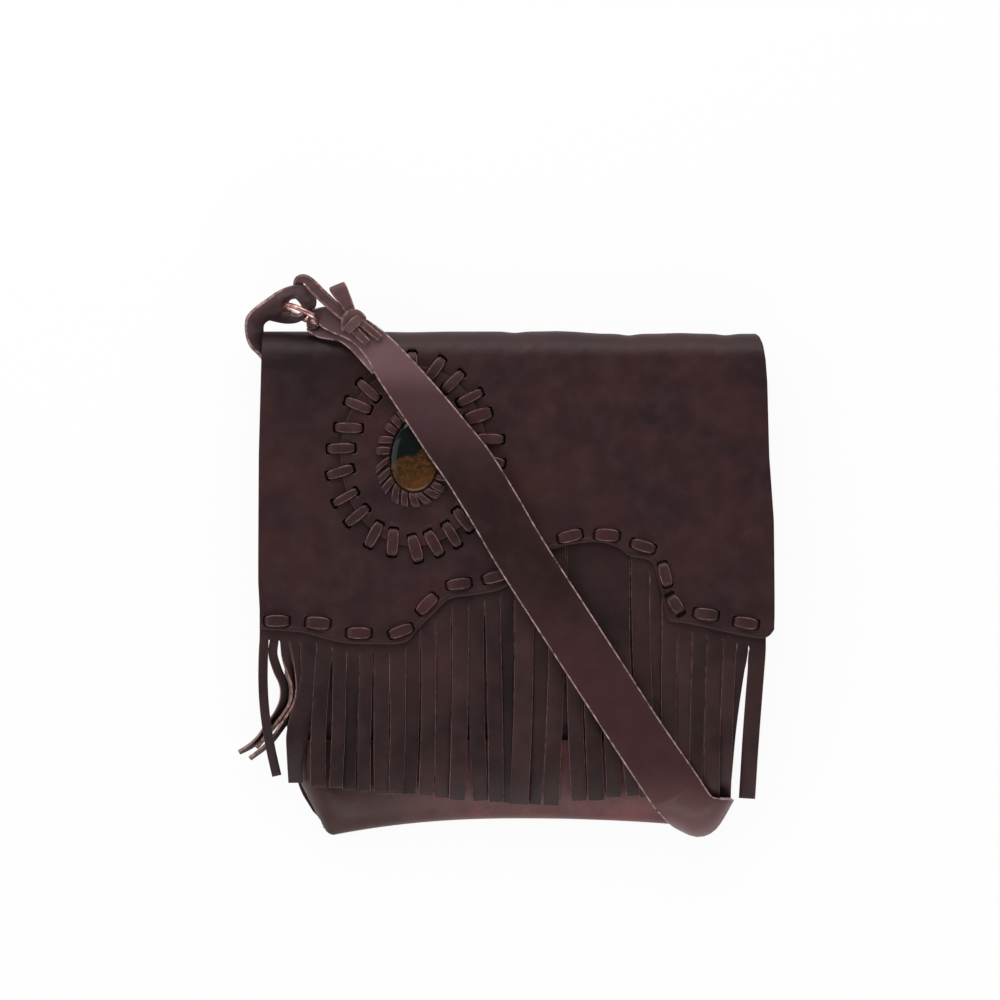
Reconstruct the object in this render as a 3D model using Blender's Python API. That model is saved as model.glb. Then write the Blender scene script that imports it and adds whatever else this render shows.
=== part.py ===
"""A fringed leather shoulder bag, lying on its back.

Metres, +Z up out of the front of the bag, +X to its right, +Y towards its top fold. The origin is on the
back, in the middle of the bag. The pouch is a back that folds over the top into a flap, a front sewn to it,
and a bottom piece. A slit fringe is laced under the flap's wavy edge, an oval patch is laced on the flap
round a polished stone, and the strap is doubled through a metal ring and tied.
"""

import math

import bpy
from mathutils import Vector

MM = 0.001

# Leathers and the gap between touching pieces
CLEAR = 0.3 * MM
LEATHER = 2.0 * MM
FRINGE_LEATHER = 1.6 * MM
PATCH_LEATHER = 1.6 * MM
TAB_LEATHER = 1.8 * MM
STRAP_LEATHER = 2.2 * MM
LACE_LEATHER = 1.5 * MM

# Pouch
BAG_DEPTH = 30 * MM
TOP_Y = 137.6 * MM
MOUTH_Y = 116 * MM
REST_EDGE = 20 * MM
RISE_END = 45 * MM
FRONT_ROOM = 4 * MM
SIDE_ROUND = 14 * MM
SEAM_Y = -86 * MM
LAP = 8 * MM
BOTTOM_Y = -129 * MM
LEFT_CORNER = (104 * MM, 8.6 * MM)
RIGHT_CORNER = (100 * MM, 4.0 * MM)
LEFT_SIDE = ((116, 133), (40, 130), (-60, 128), (-86, 126), (-106, 119.3), (-123, 108.4), (-129, 104))
RIGHT_SIDE = ((116, 126), (40, 127), (-60, 127), (-86, 125), (-106, 116.5), (-121, 105.5), (-129, 99.5))
RIM_ROOM = 1.7 * MM
FRONT_RIM_ROOM = 0.8 * MM

# Flap: its sides at the fold and at the edge, and the wavy edge itself
FLAP_LEFT = (140.0 * MM, 140.8 * MM)
FLAP_RIGHT = (129.5 * MM, 139.4 * MM)
FOLD_STEPS = 6
FLAP_EDGE = (
    (-140.8, -25.7), (-127.5, -26.2), (-116.6, -27.3), (-103, -31.1), (-94, -32.8), (-80.5, -33.3),
    (-67, -33.3), (-59.8, -31.1), (-55.4, -25.7), (-46, -16.4), (-37.4, -8.6), (-24, -6.4), (-9.6, -3.4),
    (2, 5.5), (10, 13), (19.4, 18.6), (29.8, 21.3), (43.4, 22.4), (53.8, 19.7), (60.9, 14.7), (71.3, 12.5),
    (74.6, 7.0), (77.3, -3.3), (80, -15.8), (82.6, -20.6), (90.4, -21.8), (99.1, -23.5), (115.5, -27.3),
    (132.9, -30), (139.4, -25.7),
)

# Lace along the flap's edge: the middle of each stitch
LACE_WIDTH = 6.4 * MM
STITCH = 13 * MM
CROWN = 0.5 * MM
UNDER_SAG = 2.0 * MM
EDGE_STITCHES = (
    (-131.9, -20.7), (-109.5, -21.8), (-87.1, -27.3), (-64.2, -26.2), (-50.0, -11.5), (-32.5, -0.5),
    (-12.8, 3.3), (7.9, 13.5), (28.1, 25.6), (48.3, 26.2), (68.0, 20.2), (80.0, 4.6), (85.7, -11.6),
    (102.4, -17.0), (124.2, -21.8),
)

# Fringe
HEADER = 8 * MM
SLIT = 0.6 * MM
SLIT_DROP = 5.5 * MM
CLOSED_SLITS = (30 * MM, 61 * MM, -35 * MM)
FRINGE_LEFT = -141.4 * MM
FRINGE_RIGHT = 135.1 * MM
NARROW_STRIPS = 4
NARROW_PITCH = 5.55 * MM
WIDE_STRIPS = 30
STRIP_STEPS = 6
STRIP_SAG = 14 * MM
BEND_ROOM = 1.9 * MM
STRIP_END = -120.5 * MM

# Medallion: patch, stone and their lacing
MEDALLION = (-57.0 * MM, 69.3 * MM)
PATCH_RADII = (40.1 * MM, 49.1 * MM)
PATCH_STITCHES = 24
STONE_RADII = (12.9 * MM, 19.6 * MM)
STONE_HEIGHT = 5.4 * MM
STONE_EDGE = 1.6 * MM
EGG = 0.12
BEZEL_WIDTH = 7.0 * MM
BEZEL_HEIGHT = 1.9 * MM
BEZEL_STITCHES = 22

# Ring
RING_CENTRE = Vector((-118.5 * MM, TOP_Y + 9.4 * MM, BAG_DEPTH - 4 * MM))
RING_RADIUS = 10.2 * MM
WIRE_RADIUS = 1.4 * MM
RING_TURN = math.radians(-26.6)
RING_LEAN = math.radians(11)

# Strap
STRAP_WIDTH = 28.4 * MM
STRAP_NECK = 9 * MM
NECK_ROOM = 2.0 * MM
CORNER = Vector((103.5, -132.0, 0)) * MM
CORNER_TURN = math.radians(39.8)
WRAP_OUT = 2.2 * MM
WRAP_TILT = 2.9 * MM

FLAP_UNDER = BAG_DEPTH - LEATHER
FRINGE_TOP = FLAP_UNDER - CLEAR
FRINGE_MID = FRINGE_TOP - FRINGE_LEATHER / 2
UNDER_LACE = FRINGE_TOP - FRINGE_LEATHER - CLEAR - LACE_LEATHER / 2
FRONT_TOP = FLAP_UNDER - FRONT_ROOM
PATCH_TOP = BAG_DEPTH + CLEAR + PATCH_LEATHER
BACK_LIFT = STRAP_LEATHER + CLEAR
STITCH_TOP = BAG_DEPTH + CLEAR + LACE_LEATHER / 2

LEATHER_BROWN = (0.060, 0.030, 0.030)
DARK_LEATHER = (0.045, 0.024, 0.024)
STRAP_BROWN = (0.085, 0.045, 0.045)
COPPER = (0.62, 0.33, 0.25)
STONE_GOLD = (0.20, 0.11, 0.02)


def material(name, colour, roughness, metallic=0.0):
    """A Principled material with one colour."""
    made = bpy.data.materials.new(name)
    made.use_nodes = True
    shader = made.node_tree.nodes["Principled BSDF"]
    shader.inputs["Base Color"].default_value = (*colour, 1)
    shader.inputs["Roughness"].default_value = roughness
    shader.inputs["Metallic"].default_value = metallic
    made.diffuse_color = (*colour, 1)
    return made


def mesh_object(name, points, faces, finish):
    """A new object of these points and faces, in world coordinates."""
    mesh = bpy.data.meshes.new(name)
    mesh.from_pydata([tuple(point) for point in points], [], faces)
    mesh.update()
    made = bpy.data.objects.new(name, mesh)
    bpy.context.scene.collection.objects.link(made)
    if finish is not None:
        mesh.materials.append(finish)
    return made


def spline(points, steps):
    """A smooth curve through points of any dimension, with this many steps between each two."""
    made = []
    last = len(points) - 1
    for i in range(last):
        a, b, c, d = (points[min(max(i + k, 0), last)] for k in (-1, 0, 1, 2))
        for step in range(steps):
            t = step / steps
            made.append(tuple(
                0.5 * (2 * q + (r - p) * t + (2 * p - 5 * q + 4 * r - s) * t * t
                       + (3 * q - p - 3 * r + s) * t ** 3)
                for p, q, r, s in zip(a, b, c, d)
            ))
    made.append(tuple(points[last]))
    return made


def along(table, x):
    """The value at x of a table of (x, value) pairs, in millimetres, returned in metres."""
    pairs = sorted((a * MM, b * MM) for a, b in table)
    if x <= pairs[0][0]:
        return pairs[0][1]
    for (x0, y0), (x1, y1) in zip(pairs, pairs[1:]):
        if x <= x1:
            return y0 + (y1 - y0) * (x - x0) / (x1 - x0)
    return pairs[-1][1]


def grid_faces(rows, columns, closed=False):
    """Quads between rows of points; closed joins the last column to the first."""
    faces = []
    for i in range(rows - 1):
        for j in range(columns if closed else columns - 1):
            k = (j + 1) % columns
            faces.append((i * columns + j, i * columns + k, (i + 1) * columns + k, (i + 1) * columns + j))
    return faces


def thicken(made, thickness, offset):
    """Gives a sheet its leather's thickness: offset 0 is both ways, -1 inwards, 1 outwards."""
    solid = made.modifiers.new("Leather", "SOLIDIFY")
    solid.thickness = thickness
    solid.offset = offset
    solid.use_even_offset = True
    solid.use_quality_normals = True
    return made


def sheet(name, rows, finish, thickness, offset=0):
    """A leather sheet through rows of points."""
    points = [point for row in rows for point in row]
    made = mesh_object(name, points, grid_faces(len(rows), len(rows[0])), finish)
    return thicken(made, thickness, offset)


def punch(made, slots, name):
    """Cuts slots, each (centre, direction, length along, width across, bottom, top), through a sheet."""
    points = []
    faces = []
    for centre, direction, length, width, low, high in slots:
        side = Vector((-direction.y, direction.x))
        first = len(points)
        for z in (low, high):
            for a, b in ((-1, -1), (1, -1), (1, 1), (-1, 1)):
                spot = centre + direction * (a * length / 2) + side * (b * width / 2)
                points.append((spot.x, spot.y, z))
        for face in ((3, 2, 1, 0), (4, 5, 6, 7), (0, 1, 5, 4), (1, 2, 6, 5), (2, 3, 7, 6), (3, 0, 4, 7)):
            faces.append(tuple(first + k for k in face))
    cutter = mesh_object(name, points, faces, None)
    cutter.hide_render = True
    cutter.display_type = "WIRE"
    cut = made.modifiers.new("Slots", "BOOLEAN")
    cut.operation = "DIFFERENCE"
    cut.solver = "EXACT"
    cut.object = cutter


def back_z(x):
    """Height of the back's outer side: on the ground at the left, lifted over the strap at the right."""
    t = min(max((x - REST_EDGE) / (RISE_END - REST_EDGE), 0), 1)
    return BACK_LIFT * t


def bottom_y(x):
    """The bottom outline of the pouch, which droops to its corners."""
    reach, droop = LEFT_CORNER if x < 0 else RIGHT_CORNER
    return BOTTOM_Y - droop * min(abs(x) / reach, 1) ** 2.4


def side_x(s, y, inset=0.0):
    """The x at share s across the pouch, from -1 at its left side to 1 at its right side."""
    return s * (along(LEFT_SIDE if s < 0 else RIGHT_SIDE, y) - inset)


def round_shares(radius, width):
    """Shares across a half width that make a quarter round at its side, then run flat to the middle."""
    near = [1 - radius * (1 - math.cos(math.radians(a))) / width for a in (0, 25, 50, 75)]
    return near + [0.6, 0.2]


def outline_y(x, y):
    """The y to read the side outline at, as if the bottom outline didn't droop."""
    if y > SEAM_Y:
        return y
    return SEAM_Y + (y - SEAM_Y) * (BOTTOM_Y - SEAM_Y) / (bottom_y(x) - SEAM_Y)


def side_rise(x, y, inset=0.0):
    """Share of the full height at x, from 0 at the pouch's side."""
    width = along(LEFT_SIDE if x < 0 else RIGHT_SIDE, outline_y(x, y)) - inset
    radius = SIDE_ROUND - inset
    d = min(max((width - abs(x)) / radius, 0), 1)
    return math.sqrt(max(1 - (1 - d) ** 2, 0))


def end_rise(x, y):
    """Share of the full height at y, from 1 at the bottom piece's seam to 0 at the bottom outline."""
    t = min(max((SEAM_Y - y) / (SEAM_Y - bottom_y(x)), 0), 1)
    return math.sqrt(1 - t * t)


def pouch_z(x, y, inset=0.0, room=RIM_ROOM):
    """Height of the pouch's outer side, or of a layer that lies inset within it."""
    low = back_z(x) + LEATHER + room
    return low + (FRONT_TOP - inset - low) * side_rise(x, y, inset) * end_rise(x, y)


def edge_y(x):
    """The flap's wavy edge."""
    return along(FLAP_EDGE, x)


def build_back_and_flap(finish):
    """One piece: the back, the round fold over the top and the flap down the front."""
    columns = [2 * (x - FLAP_EDGE[0][0]) / (FLAP_EDGE[-1][0] - FLAP_EDGE[0][0]) - 1 for x, y in FLAP_EDGE]
    fold_y = TOP_Y - BAG_DEPTH / 2
    rows = []
    for t in (1, 0.86, 0.5, 0.2):
        row = []
        for s in columns:
            y = fold_y + t * (BOTTOM_Y - fold_y)
            fold_x = FLAP_LEFT[0] if s < 0 else FLAP_RIGHT[0]
            mix = min(t / 0.2, 1)
            x = s * ((1 - mix) * fold_x + mix * abs(side_x(-1 if s < 0 else 1, y)))
            row.append((x, fold_y + t * (bottom_y(x) - fold_y), back_z(x)))
        rows.append(row)
    for step in range(FOLD_STEPS + 1):
        turn = math.pi * step / FOLD_STEPS
        row = []
        for s in columns:
            x = s * (FLAP_LEFT[0] if s < 0 else FLAP_RIGHT[0])
            radius = (BAG_DEPTH - back_z(x)) / 2
            row.append((x, fold_y + radius * math.sin(turn), back_z(x) + radius * (1 - math.cos(turn))))
        rows.append(row)
    for t in (0.35, 0.7, 1):
        row = []
        for (x, y), s in zip(FLAP_EDGE, columns):
            fold_x = s * (FLAP_LEFT[0] if s < 0 else FLAP_RIGHT[0])
            mix = min(2.5 * t, 1)
            row.append((fold_x + mix * (x * MM - fold_x), fold_y + t * (y * MM - fold_y), BAG_DEPTH))
        rows.append(row)
    made = sheet("back_and_flap", [row[::-1] for row in rows], finish, LEATHER, -1)
    slots = edge_slots(FLAP_UNDER - CLEAR, BAG_DEPTH + CLEAR)
    slots += patch_slots((-1, 1), FLAP_UNDER - UNDER_SAG / 2, BAG_DEPTH + CLEAR)
    punch(made, slots, "flap_slots")
    return made


def build_front_panel(finish):
    """The front wall of the pouch, its sides rolled down to the back; the bottom piece laps over its end."""
    rows = []
    lines = ((MOUTH_Y, 0), (40 * MM, 0), (SEAM_Y + 1.75 * LAP, 0), (SEAM_Y + LAP, 1), (SEAM_Y - LAP, 1))
    for y, lap in lines:
        inset = lap * (LEATHER + 2 * CLEAR)
        width = along(LEFT_SIDE, y) - inset
        near = round_shares(SIDE_ROUND - inset, width)
        shares = [-s for s in near] + near[::-1]
        row = []
        for s in shares:
            x = side_x(s, y, inset)
            row.append((x, y, pouch_z(x, y, inset, FRONT_RIM_ROOM)))
        rows.append(row[::-1])
    return sheet("front_panel", rows, finish, LEATHER, -1)


def build_bottom_panel(finish):
    """The piece round the bottom, from its straight upper edge down to the pouch's bottom outline."""
    rows = []
    for turn in (90, 70, 50, 32, 16, 0):
        t = math.cos(math.radians(turn))
        row = []
        nominal = SEAM_Y + t * (BOTTOM_Y - SEAM_Y)
        near = round_shares(SIDE_ROUND, along(LEFT_SIDE, nominal))
        for s in [-s for s in near] + near[::-1]:
            x = side_x(s, nominal)
            y = SEAM_Y + t * (bottom_y(x) - SEAM_Y)
            low = back_z(x) + LEATHER + RIM_ROOM
            z = low + (FRONT_TOP - low) * side_rise(x, nominal) * math.sin(math.radians(turn))
            row.append((x, y, z))
        rows.append(row[::-1])
    return sheet("bottom_panel", rows, finish, LEATHER, -1)


def stitch_frames(centres):
    """The middle and direction of each stitch of an open row."""
    spots = [Vector(centre) * MM for centre in centres]
    frames = []
    for i, spot in enumerate(spots):
        before = spots[max(i - 1, 0)]
        after = spots[min(i + 1, len(spots) - 1)]
        frames.append((spot, (after - before).normalized()))
    return frames


def slot_at(spot, direction, low, high):
    """A slot that lets the lace through, with its clearance all round."""
    return spot, direction, LACE_LEATHER + 2 * CLEAR, LACE_WIDTH + 2 * CLEAR, low, high


def edge_slots(low, high):
    """Two slots for each stitch along the flap's edge."""
    return [
        slot_at(spot + direction * (end * STITCH / 2), direction, low, high)
        for spot, direction in stitch_frames(EDGE_STITCHES)
        for end in (-1, 1)
    ]


def lace(name, stitches, under, finish):
    """A flat lace that runs over each stitch, down its slots and on beneath the leather."""
    rows = []
    for spot, direction, start_z, middle_z, end_z in stitches:
        side = Vector((-direction.y, direction.x)) * (LACE_WIDTH / 2)
        start = spot - direction * (STITCH / 2)
        end = spot + direction * (STITCH / 2)
        for place, z in ((start, under), (start, start_z), (spot, middle_z), (end, end_z), (end, under)):
            rows.append([(place.x - side.x, place.y - side.y, z), (place.x + side.x, place.y + side.y, z)])
    return sheet(name, rows, finish, LACE_LEATHER)


def build_edge_lace(finish):
    """The running lace that holds the fringe under the flap's edge."""
    stitches = [
        (spot, direction, STITCH_TOP, STITCH_TOP + CROWN, STITCH_TOP)
        for spot, direction in stitch_frames(EDGE_STITCHES)
    ]
    return lace("edge_lace", stitches, UNDER_LACE, finish)


def oval_spot(angle, radii):
    """A point on an oval round the medallion's middle, and its outward normal."""
    spot = Vector((MEDALLION[0] + radii[0] * math.cos(angle), MEDALLION[1] + radii[1] * math.sin(angle)))
    normal = Vector((radii[1] * math.cos(angle), radii[0] * math.sin(angle))).normalized()
    return spot, normal


def patch_frames():
    """The middle and outward direction of each stitch over the patch's edge, evenly spaced."""
    fine = 720
    ends = [oval_spot(2 * math.pi * i / fine, PATCH_RADII)[0] for i in range(fine + 1)]
    length = sum((b - a).length for a, b in zip(ends, ends[1:]))
    frames = []
    travelled = 0.0
    for i in range(fine):
        if travelled >= len(frames) * length / PATCH_STITCHES and len(frames) < PATCH_STITCHES:
            frames.append(oval_spot(2 * math.pi * i / fine, PATCH_RADII))
        travelled += (ends[i + 1] - ends[i]).length
    return frames


def patch_slots(ends, low, high):
    """Slots at the inner (-1) and outer (1) end of each stitch over the patch's edge."""
    return [
        slot_at(spot + normal * (end * STITCH / 2), normal, low, high)
        for spot, normal in patch_frames()
        for end in ends
    ]


def egg_spot(angle, grow):
    """A point of the stone's egg outline, grown outwards, wider at its lower end."""
    x = (STONE_RADII[0] + grow) * math.cos(angle)
    y = (STONE_RADII[1] + grow) * math.sin(angle)
    return MEDALLION[0] + x * (1 - EGG * math.sin(angle)), MEDALLION[1] + y


def build_patch(finish):
    """The oval patch with its egg-shaped hole for the stone."""
    count = 36
    rows = []
    for share in (1, 0.45, 0):
        row = []
        for i in range(count):
            angle = 2 * math.pi * i / count
            outer = oval_spot(angle, PATCH_RADII)[0]
            inner = egg_spot(angle, CLEAR)
            row.append((
                share * outer.x + (1 - share) * inner[0],
                share * outer.y + (1 - share) * inner[1],
                PATCH_TOP,
            ))
        rows.append(row)
    points = [point for row in rows for point in row]
    made = mesh_object("medallion_patch", points, grid_faces(len(rows), count, closed=True), finish)
    for polygon in made.data.polygons:
        if polygon.normal.z < 0:
            polygon.flip()
    thicken(made, PATCH_LEATHER, -1)
    punch(made, patch_slots((-1,), BAG_DEPTH, PATCH_TOP + CLEAR), "patch_slots")
    return made


def build_medallion_lace(finish):
    """The lace whipped over the patch's edge, down through patch and flap."""
    inner_z = PATCH_TOP + CLEAR + LACE_LEATHER / 2
    stitches = [
        (spot, normal, inner_z, inner_z + 0.3 * CROWN, STITCH_TOP + CROWN)
        for spot, normal in patch_frames()
    ]
    return lace("medallion_lace", stitches, FLAP_UNDER - UNDER_SAG - LACE_LEATHER / 2, finish)


def build_bezel_lace(finish):
    """The lace whipped round the hole in the patch, one ridge for each turn."""
    low = PATCH_TOP + CLEAR
    steps = 3 * BEZEL_STITCHES
    points = []
    for i in range(steps):
        angle = 2 * math.pi * i / steps
        ridge = 0.45 if i % 3 == 0 else 1
        height = low + BEZEL_HEIGHT * ridge
        section = ((0.0, low), (0.0, height - 0.3 * MM), (0.5, height), (1.0, height - 0.5 * MM), (1.0, low))
        for out, z in section:
            x, y = egg_spot(angle, CLEAR + 0.4 * MM + out * BEZEL_WIDTH)
            points.append((x, y, z))
    faces = []
    for i in range(steps):
        k = (i + 1) % steps
        for j in range(5):
            n = (j + 1) % 5
            faces.append((i * 5 + j, i * 5 + n, k * 5 + n, k * 5 + j))
    return mesh_object("bezel_lace", points, faces, finish)


def build_stone(finish):
    """The cabochon: an upright edge that the patch's hole holds, under a domed top."""
    count = 32
    low = BAG_DEPTH + CLEAR
    rings = [(0, 0), (0, STONE_EDGE)]
    for turn in (25, 50, 72):
        share = math.cos(math.radians(turn))
        rings.append((share - 1, STONE_EDGE + (STONE_HEIGHT - STONE_EDGE) * math.sin(math.radians(turn))))
    points = []
    for shrink, height in rings:
        for i in range(count):
            angle = 2 * math.pi * i / count
            x, y = egg_spot(angle, 0)
            points.append((
                MEDALLION[0] + (x - MEDALLION[0]) * (1 + shrink),
                MEDALLION[1] + (y - MEDALLION[1]) * (1 + shrink),
                low + height,
            ))
    faces = grid_faces(len(rings), count, closed=True)
    top = len(points)
    points.append((MEDALLION[0], MEDALLION[1], low + STONE_HEIGHT))
    last = (len(rings) - 1) * count
    faces += [(last + i, last + (i + 1) % count, top) for i in range(count)]
    faces.append(tuple(range(count - 1, -1, -1)))
    return mesh_object("stone", points, faces, finish)


CURLED = (
    ((-130.6, -43, 24.8), (-128.4, -58, 21.5), (-131.2, -73, 16), (-138.5, -86, 10.5), (-153.4, -92.3, 8)),
    ((-126, -43, 25.3), (-124.6, -58, 23.5), (-127.5, -74, 19), (-135.5, -89, 11.5), (-147.5, -96.6, 9)),
    ((-121.8, -43, 26), (-121.3, -58, 25), (-123.5, -74, 22), (-130, -88, 14.5), (-138.3, -97.5, 10.5)),
)


def strip_edges():
    """The left and right side of each strip where it leaves the header."""
    edges = []
    x = FRINGE_LEFT
    for _ in range(NARROW_STRIPS):
        edges.append((x, x + NARROW_PITCH - SLIT))
        x += NARROW_PITCH
    pitch = (FRINGE_RIGHT - x) / WIDE_STRIPS
    for _ in range(WIDE_STRIPS):
        edges.append((x, x + pitch - SLIT))
        x += pitch
    return edges


def strip_lean(x):
    """How far a strip's lower end lies to the left of its root."""
    if x < -95 * MM:
        return 0.3 * (x + 95 * MM)
    return -7.6 * MM * max((x - 23 * MM) / (98 * MM), 0)


def strip_end(x):
    """The y of a strip's lower end."""
    if x < 15 * MM:
        return STRIP_END + 11 * MM * ((x - 15 * MM) / (135 * MM)) ** 2
    return STRIP_END + 2.5 * MM * ((x - 15 * MM) / (105 * MM)) ** 2


def lace_line_y(x):
    """The y of the lace along the flap's edge."""
    return along(EDGE_STITCHES, x)


def build_fringe(finish):
    """The leather under the flap's edge, slit into strips below its header."""
    edges = strip_edges()
    points = []
    faces = []

    def put(x, y, z):
        points.append((x, y, z))
        return len(points) - 1

    def slit_y(x):
        start, end, low = CLOSED_SLITS
        return low if start < x < end else min(edge_y(x), lace_line_y(x)) - SLIT_DROP

    columns = []
    for left, right in edges:
        root_y = slit_y((left + right) / 2)
        for x in (left, right):
            top_y = lace_line_y(x) + HEADER
            columns.append([put(x, top_y, FRINGE_MID), put(x, root_y, FRINGE_MID)])
    for a, b in zip(columns, columns[1:]):
        faces.append((a[0], a[1], b[1], b[0]))
    for i, (left, right) in enumerate(edges):
        a, b = columns[2 * i][1], columns[2 * i + 1][1]
        middle = (left + right) / 2
        half = (right - left) / 2
        root_y = slit_y(middle)
        if 1 <= i <= 3:
            path = [(middle, root_y, FRINGE_MID)] + [tuple(v * MM for v in spot) for spot in CURLED[i - 1]]
            for k in range(1, len(path)):
                x, y, z = path[k]
                turn = math.radians(min(45 * k, 80))
                across = Vector((math.cos(turn), -0.5 * math.sin(turn) * math.cos(turn), -math.sin(turn)))
                low = Vector((x, y, z)) - across * half
                high = Vector((x, y, z)) + across * half
                c, d = put(*low), put(*high)
                faces.append((a, c, d, b))
                a, b = c, d
            continue
        end_y = -105.4 * MM if i == 0 else strip_end(middle)
        lean = 6 * MM if i == 0 else strip_lean(middle)
        for k in range(1, STRIP_STEPS + 1):
            t = k / STRIP_STEPS
            y = root_y + t * (end_y - root_y)
            shift = lean * t
            body = max(pouch_z(x + shift, y) for x in (left, middle, right))
            room = CLEAR + FRINGE_LEATHER / 2 + (BEND_ROOM if y < SEAM_Y else 0)
            z = max(body + room, FRINGE_MID - STRIP_SAG * t * t)
            z = min(z, FRINGE_MID)
            c, d = put(left + shift, y, z), put(right + shift, y, z)
            faces.append((a, c, d, b))
            a, b = c, d
    made = mesh_object("fringe", points, faces, finish)
    thicken(made, FRINGE_LEATHER, 0)
    punch(made, edge_slots(FRINGE_TOP - FRINGE_LEATHER - CLEAR, FRINGE_TOP + CLEAR / 2), "fringe_slots")
    return made


def ring_axes():
    """The ring's own directions: along its width, up its height and out of its face."""
    u = Vector((math.cos(RING_TURN), math.sin(RING_TURN), 0))
    face = Vector((-u.y, u.x, 0))
    v = Vector((0, 0, math.cos(RING_LEAN))) + face * math.sin(RING_LEAN)
    return u, v, u.cross(v)


def build_ring(finish):
    """The round wire ring."""
    u, v, n = ring_axes()
    count, around = 28, 8
    points = []
    for i in range(count):
        turn = 2 * math.pi * i / count
        out = u * math.cos(turn) + v * math.sin(turn)
        for j in range(around):
            angle = 2 * math.pi * j / around
            place = out * (RING_RADIUS + WIRE_RADIUS * math.cos(angle)) + n * (WIRE_RADIUS * math.sin(angle))
            points.append(place)
    faces = []
    for i in range(count):
        k = (i + 1) % count
        for j in range(around):
            m = (j + 1) % around
            faces.append((i * around + j, k * around + j, k * around + m, i * around + m))
    made = mesh_object("strap_ring", points, faces, finish)
    made.location = RING_CENTRE
    made.data.shade_smooth()
    return made


# The tab's two long edges, the outer and the inner: x, y and height above the flap of each, from the side
# seam round the outside of the ring, down through it and back along the first run
TAB_EDGES = (
    (-133.2, 88, -9.5, -133.2, 88, -26.5), (-133.8, 99.9, -9, -133.5, 99.9, -25.5),
    (-136.2, 113.6, -8.5, -134.6, 113, -24), (-140.3, 123.1, -8, -136.5, 121.2, -21.5),
    (-146.6, 129.9, -7, -139.5, 128.9, -18.5), (-148.9, 137.6, -5.5, -141.9, 135.7, -15.5),
    (-148, 145.2, -4.5, -141.4, 141.4, -14), (-143.3, 151.2, -2.5, -136.8, 145.8, -14),
    (-137, 155.9, -0.5, -131.9, 149.6, -13.5), (-129.7, 160, 1.5, -127.5, 154.2, -8),
    (-122, 161.6, 3, -124.5, 156.4, -1.5), (-116.6, 159.2, 3.5, -121.8, 155.3, 1.5),
    (-112.5, 156.2, 2, -119.6, 152.9, 2), (-110.6, 153.2, -1.5, -118.2, 150.2, 0),
    (-112.2, 149.9, -5.5, -117.9, 148.2, -2.5), (-115.2, 147.1, -8.5, -119, 146.9, -4.5),
    (-117.9, 144.7, -10.2, -121.5, 146.3, -5.7), (-121.5, 142.8, -11, -125.3, 147.4, -6.2),
    (-127.5, 142, -11, -129.7, 149.3, -6.2), (-134, 143.1, -10, -134, 152.1, -4),
    (-139.8, 144.4, -8, -139.8, 149.1, -3.7), (-142.5, 145.1, -6, -142.5, 147.1, -3.4),
)


def build_tab(finish):
    """The leather tab that leans out from the side seam, goes down through the ring and turns back."""
    rows = []
    for row in spline(TAB_EDGES, 2):
        rows.append([(row[k] * MM, row[k + 1] * MM, BAG_DEPTH + row[k + 2] * MM) for k in (3, 0)])
    return sheet("ring_tab", rows, finish, TAB_LEATHER)


# The doubled neck of the strap: x, y and height above the flap of its middle, turn of its width, half the
# gap between the two layers' middles and width, from the ring's wire outwards
NECK = (
    (-104.5, 140.4, -2.4, 68, 2.4, 11), (-98.5, 138.0, 0.0, 38, 1.9, 14),
    (-89.0, 135.0, 3.0, 10, 1.4, 17.5), (-78.5, 126.8, 4.4, 0, 1.3, 19),
)
# The strap's single run over the front: x, y, height above the flap and width, from the neck to near the
# bag's corner
STRAP_RUN = (
    (-68.7, 118.2, 7.8, 20.2), (-51.3, 95.7, 7.2, 24.6), (-39, 79, 7.2, 27), (-27.6, 63.9, 6.6, 28.4),
    (-14, 42, 5.7, 28.4), (-1.2, 19.9, 4.7, 28.4), (12, -1, 3.9, 28.4), (30, -28.8, 1.8, 28.4),
    (47.7, -56.2, 0.9, 28.4), (65, -83, 0.2, 28.4), (79.9, -105.9, -1.0, 28.4),
)
# Round the bag's corner: distance along the strap past the corner, and height as a share of the depth
STRAP_WRAP = (
    (-20, 0.837), (-11, 0.777), (-4.5, 0.65), (-0.8, 0.363), (0, 0.13), (-0.6, 0.037), (-2.4, 0), (-12, 0),
)
# The strap's doubled-back end past its neck: distance along and rise
STRAP_END = ((4, 1.6), (12, 3.2))
# The hidden run under the bag, to where the strap is sewn to the back
STRAP_UNDER = ((84, -108), (72, -82), (66, -48), (66, -10), (74, 30), (89, 66), (103, 93))
STRAP_COLUMNS = (-1, -0.5, -0.2, 0.35, 1)


def strap_row(middle, across, width):
    """One row of points across the strap."""
    return [middle + across * (share * width / 2) for share in STRAP_COLUMNS]


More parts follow.
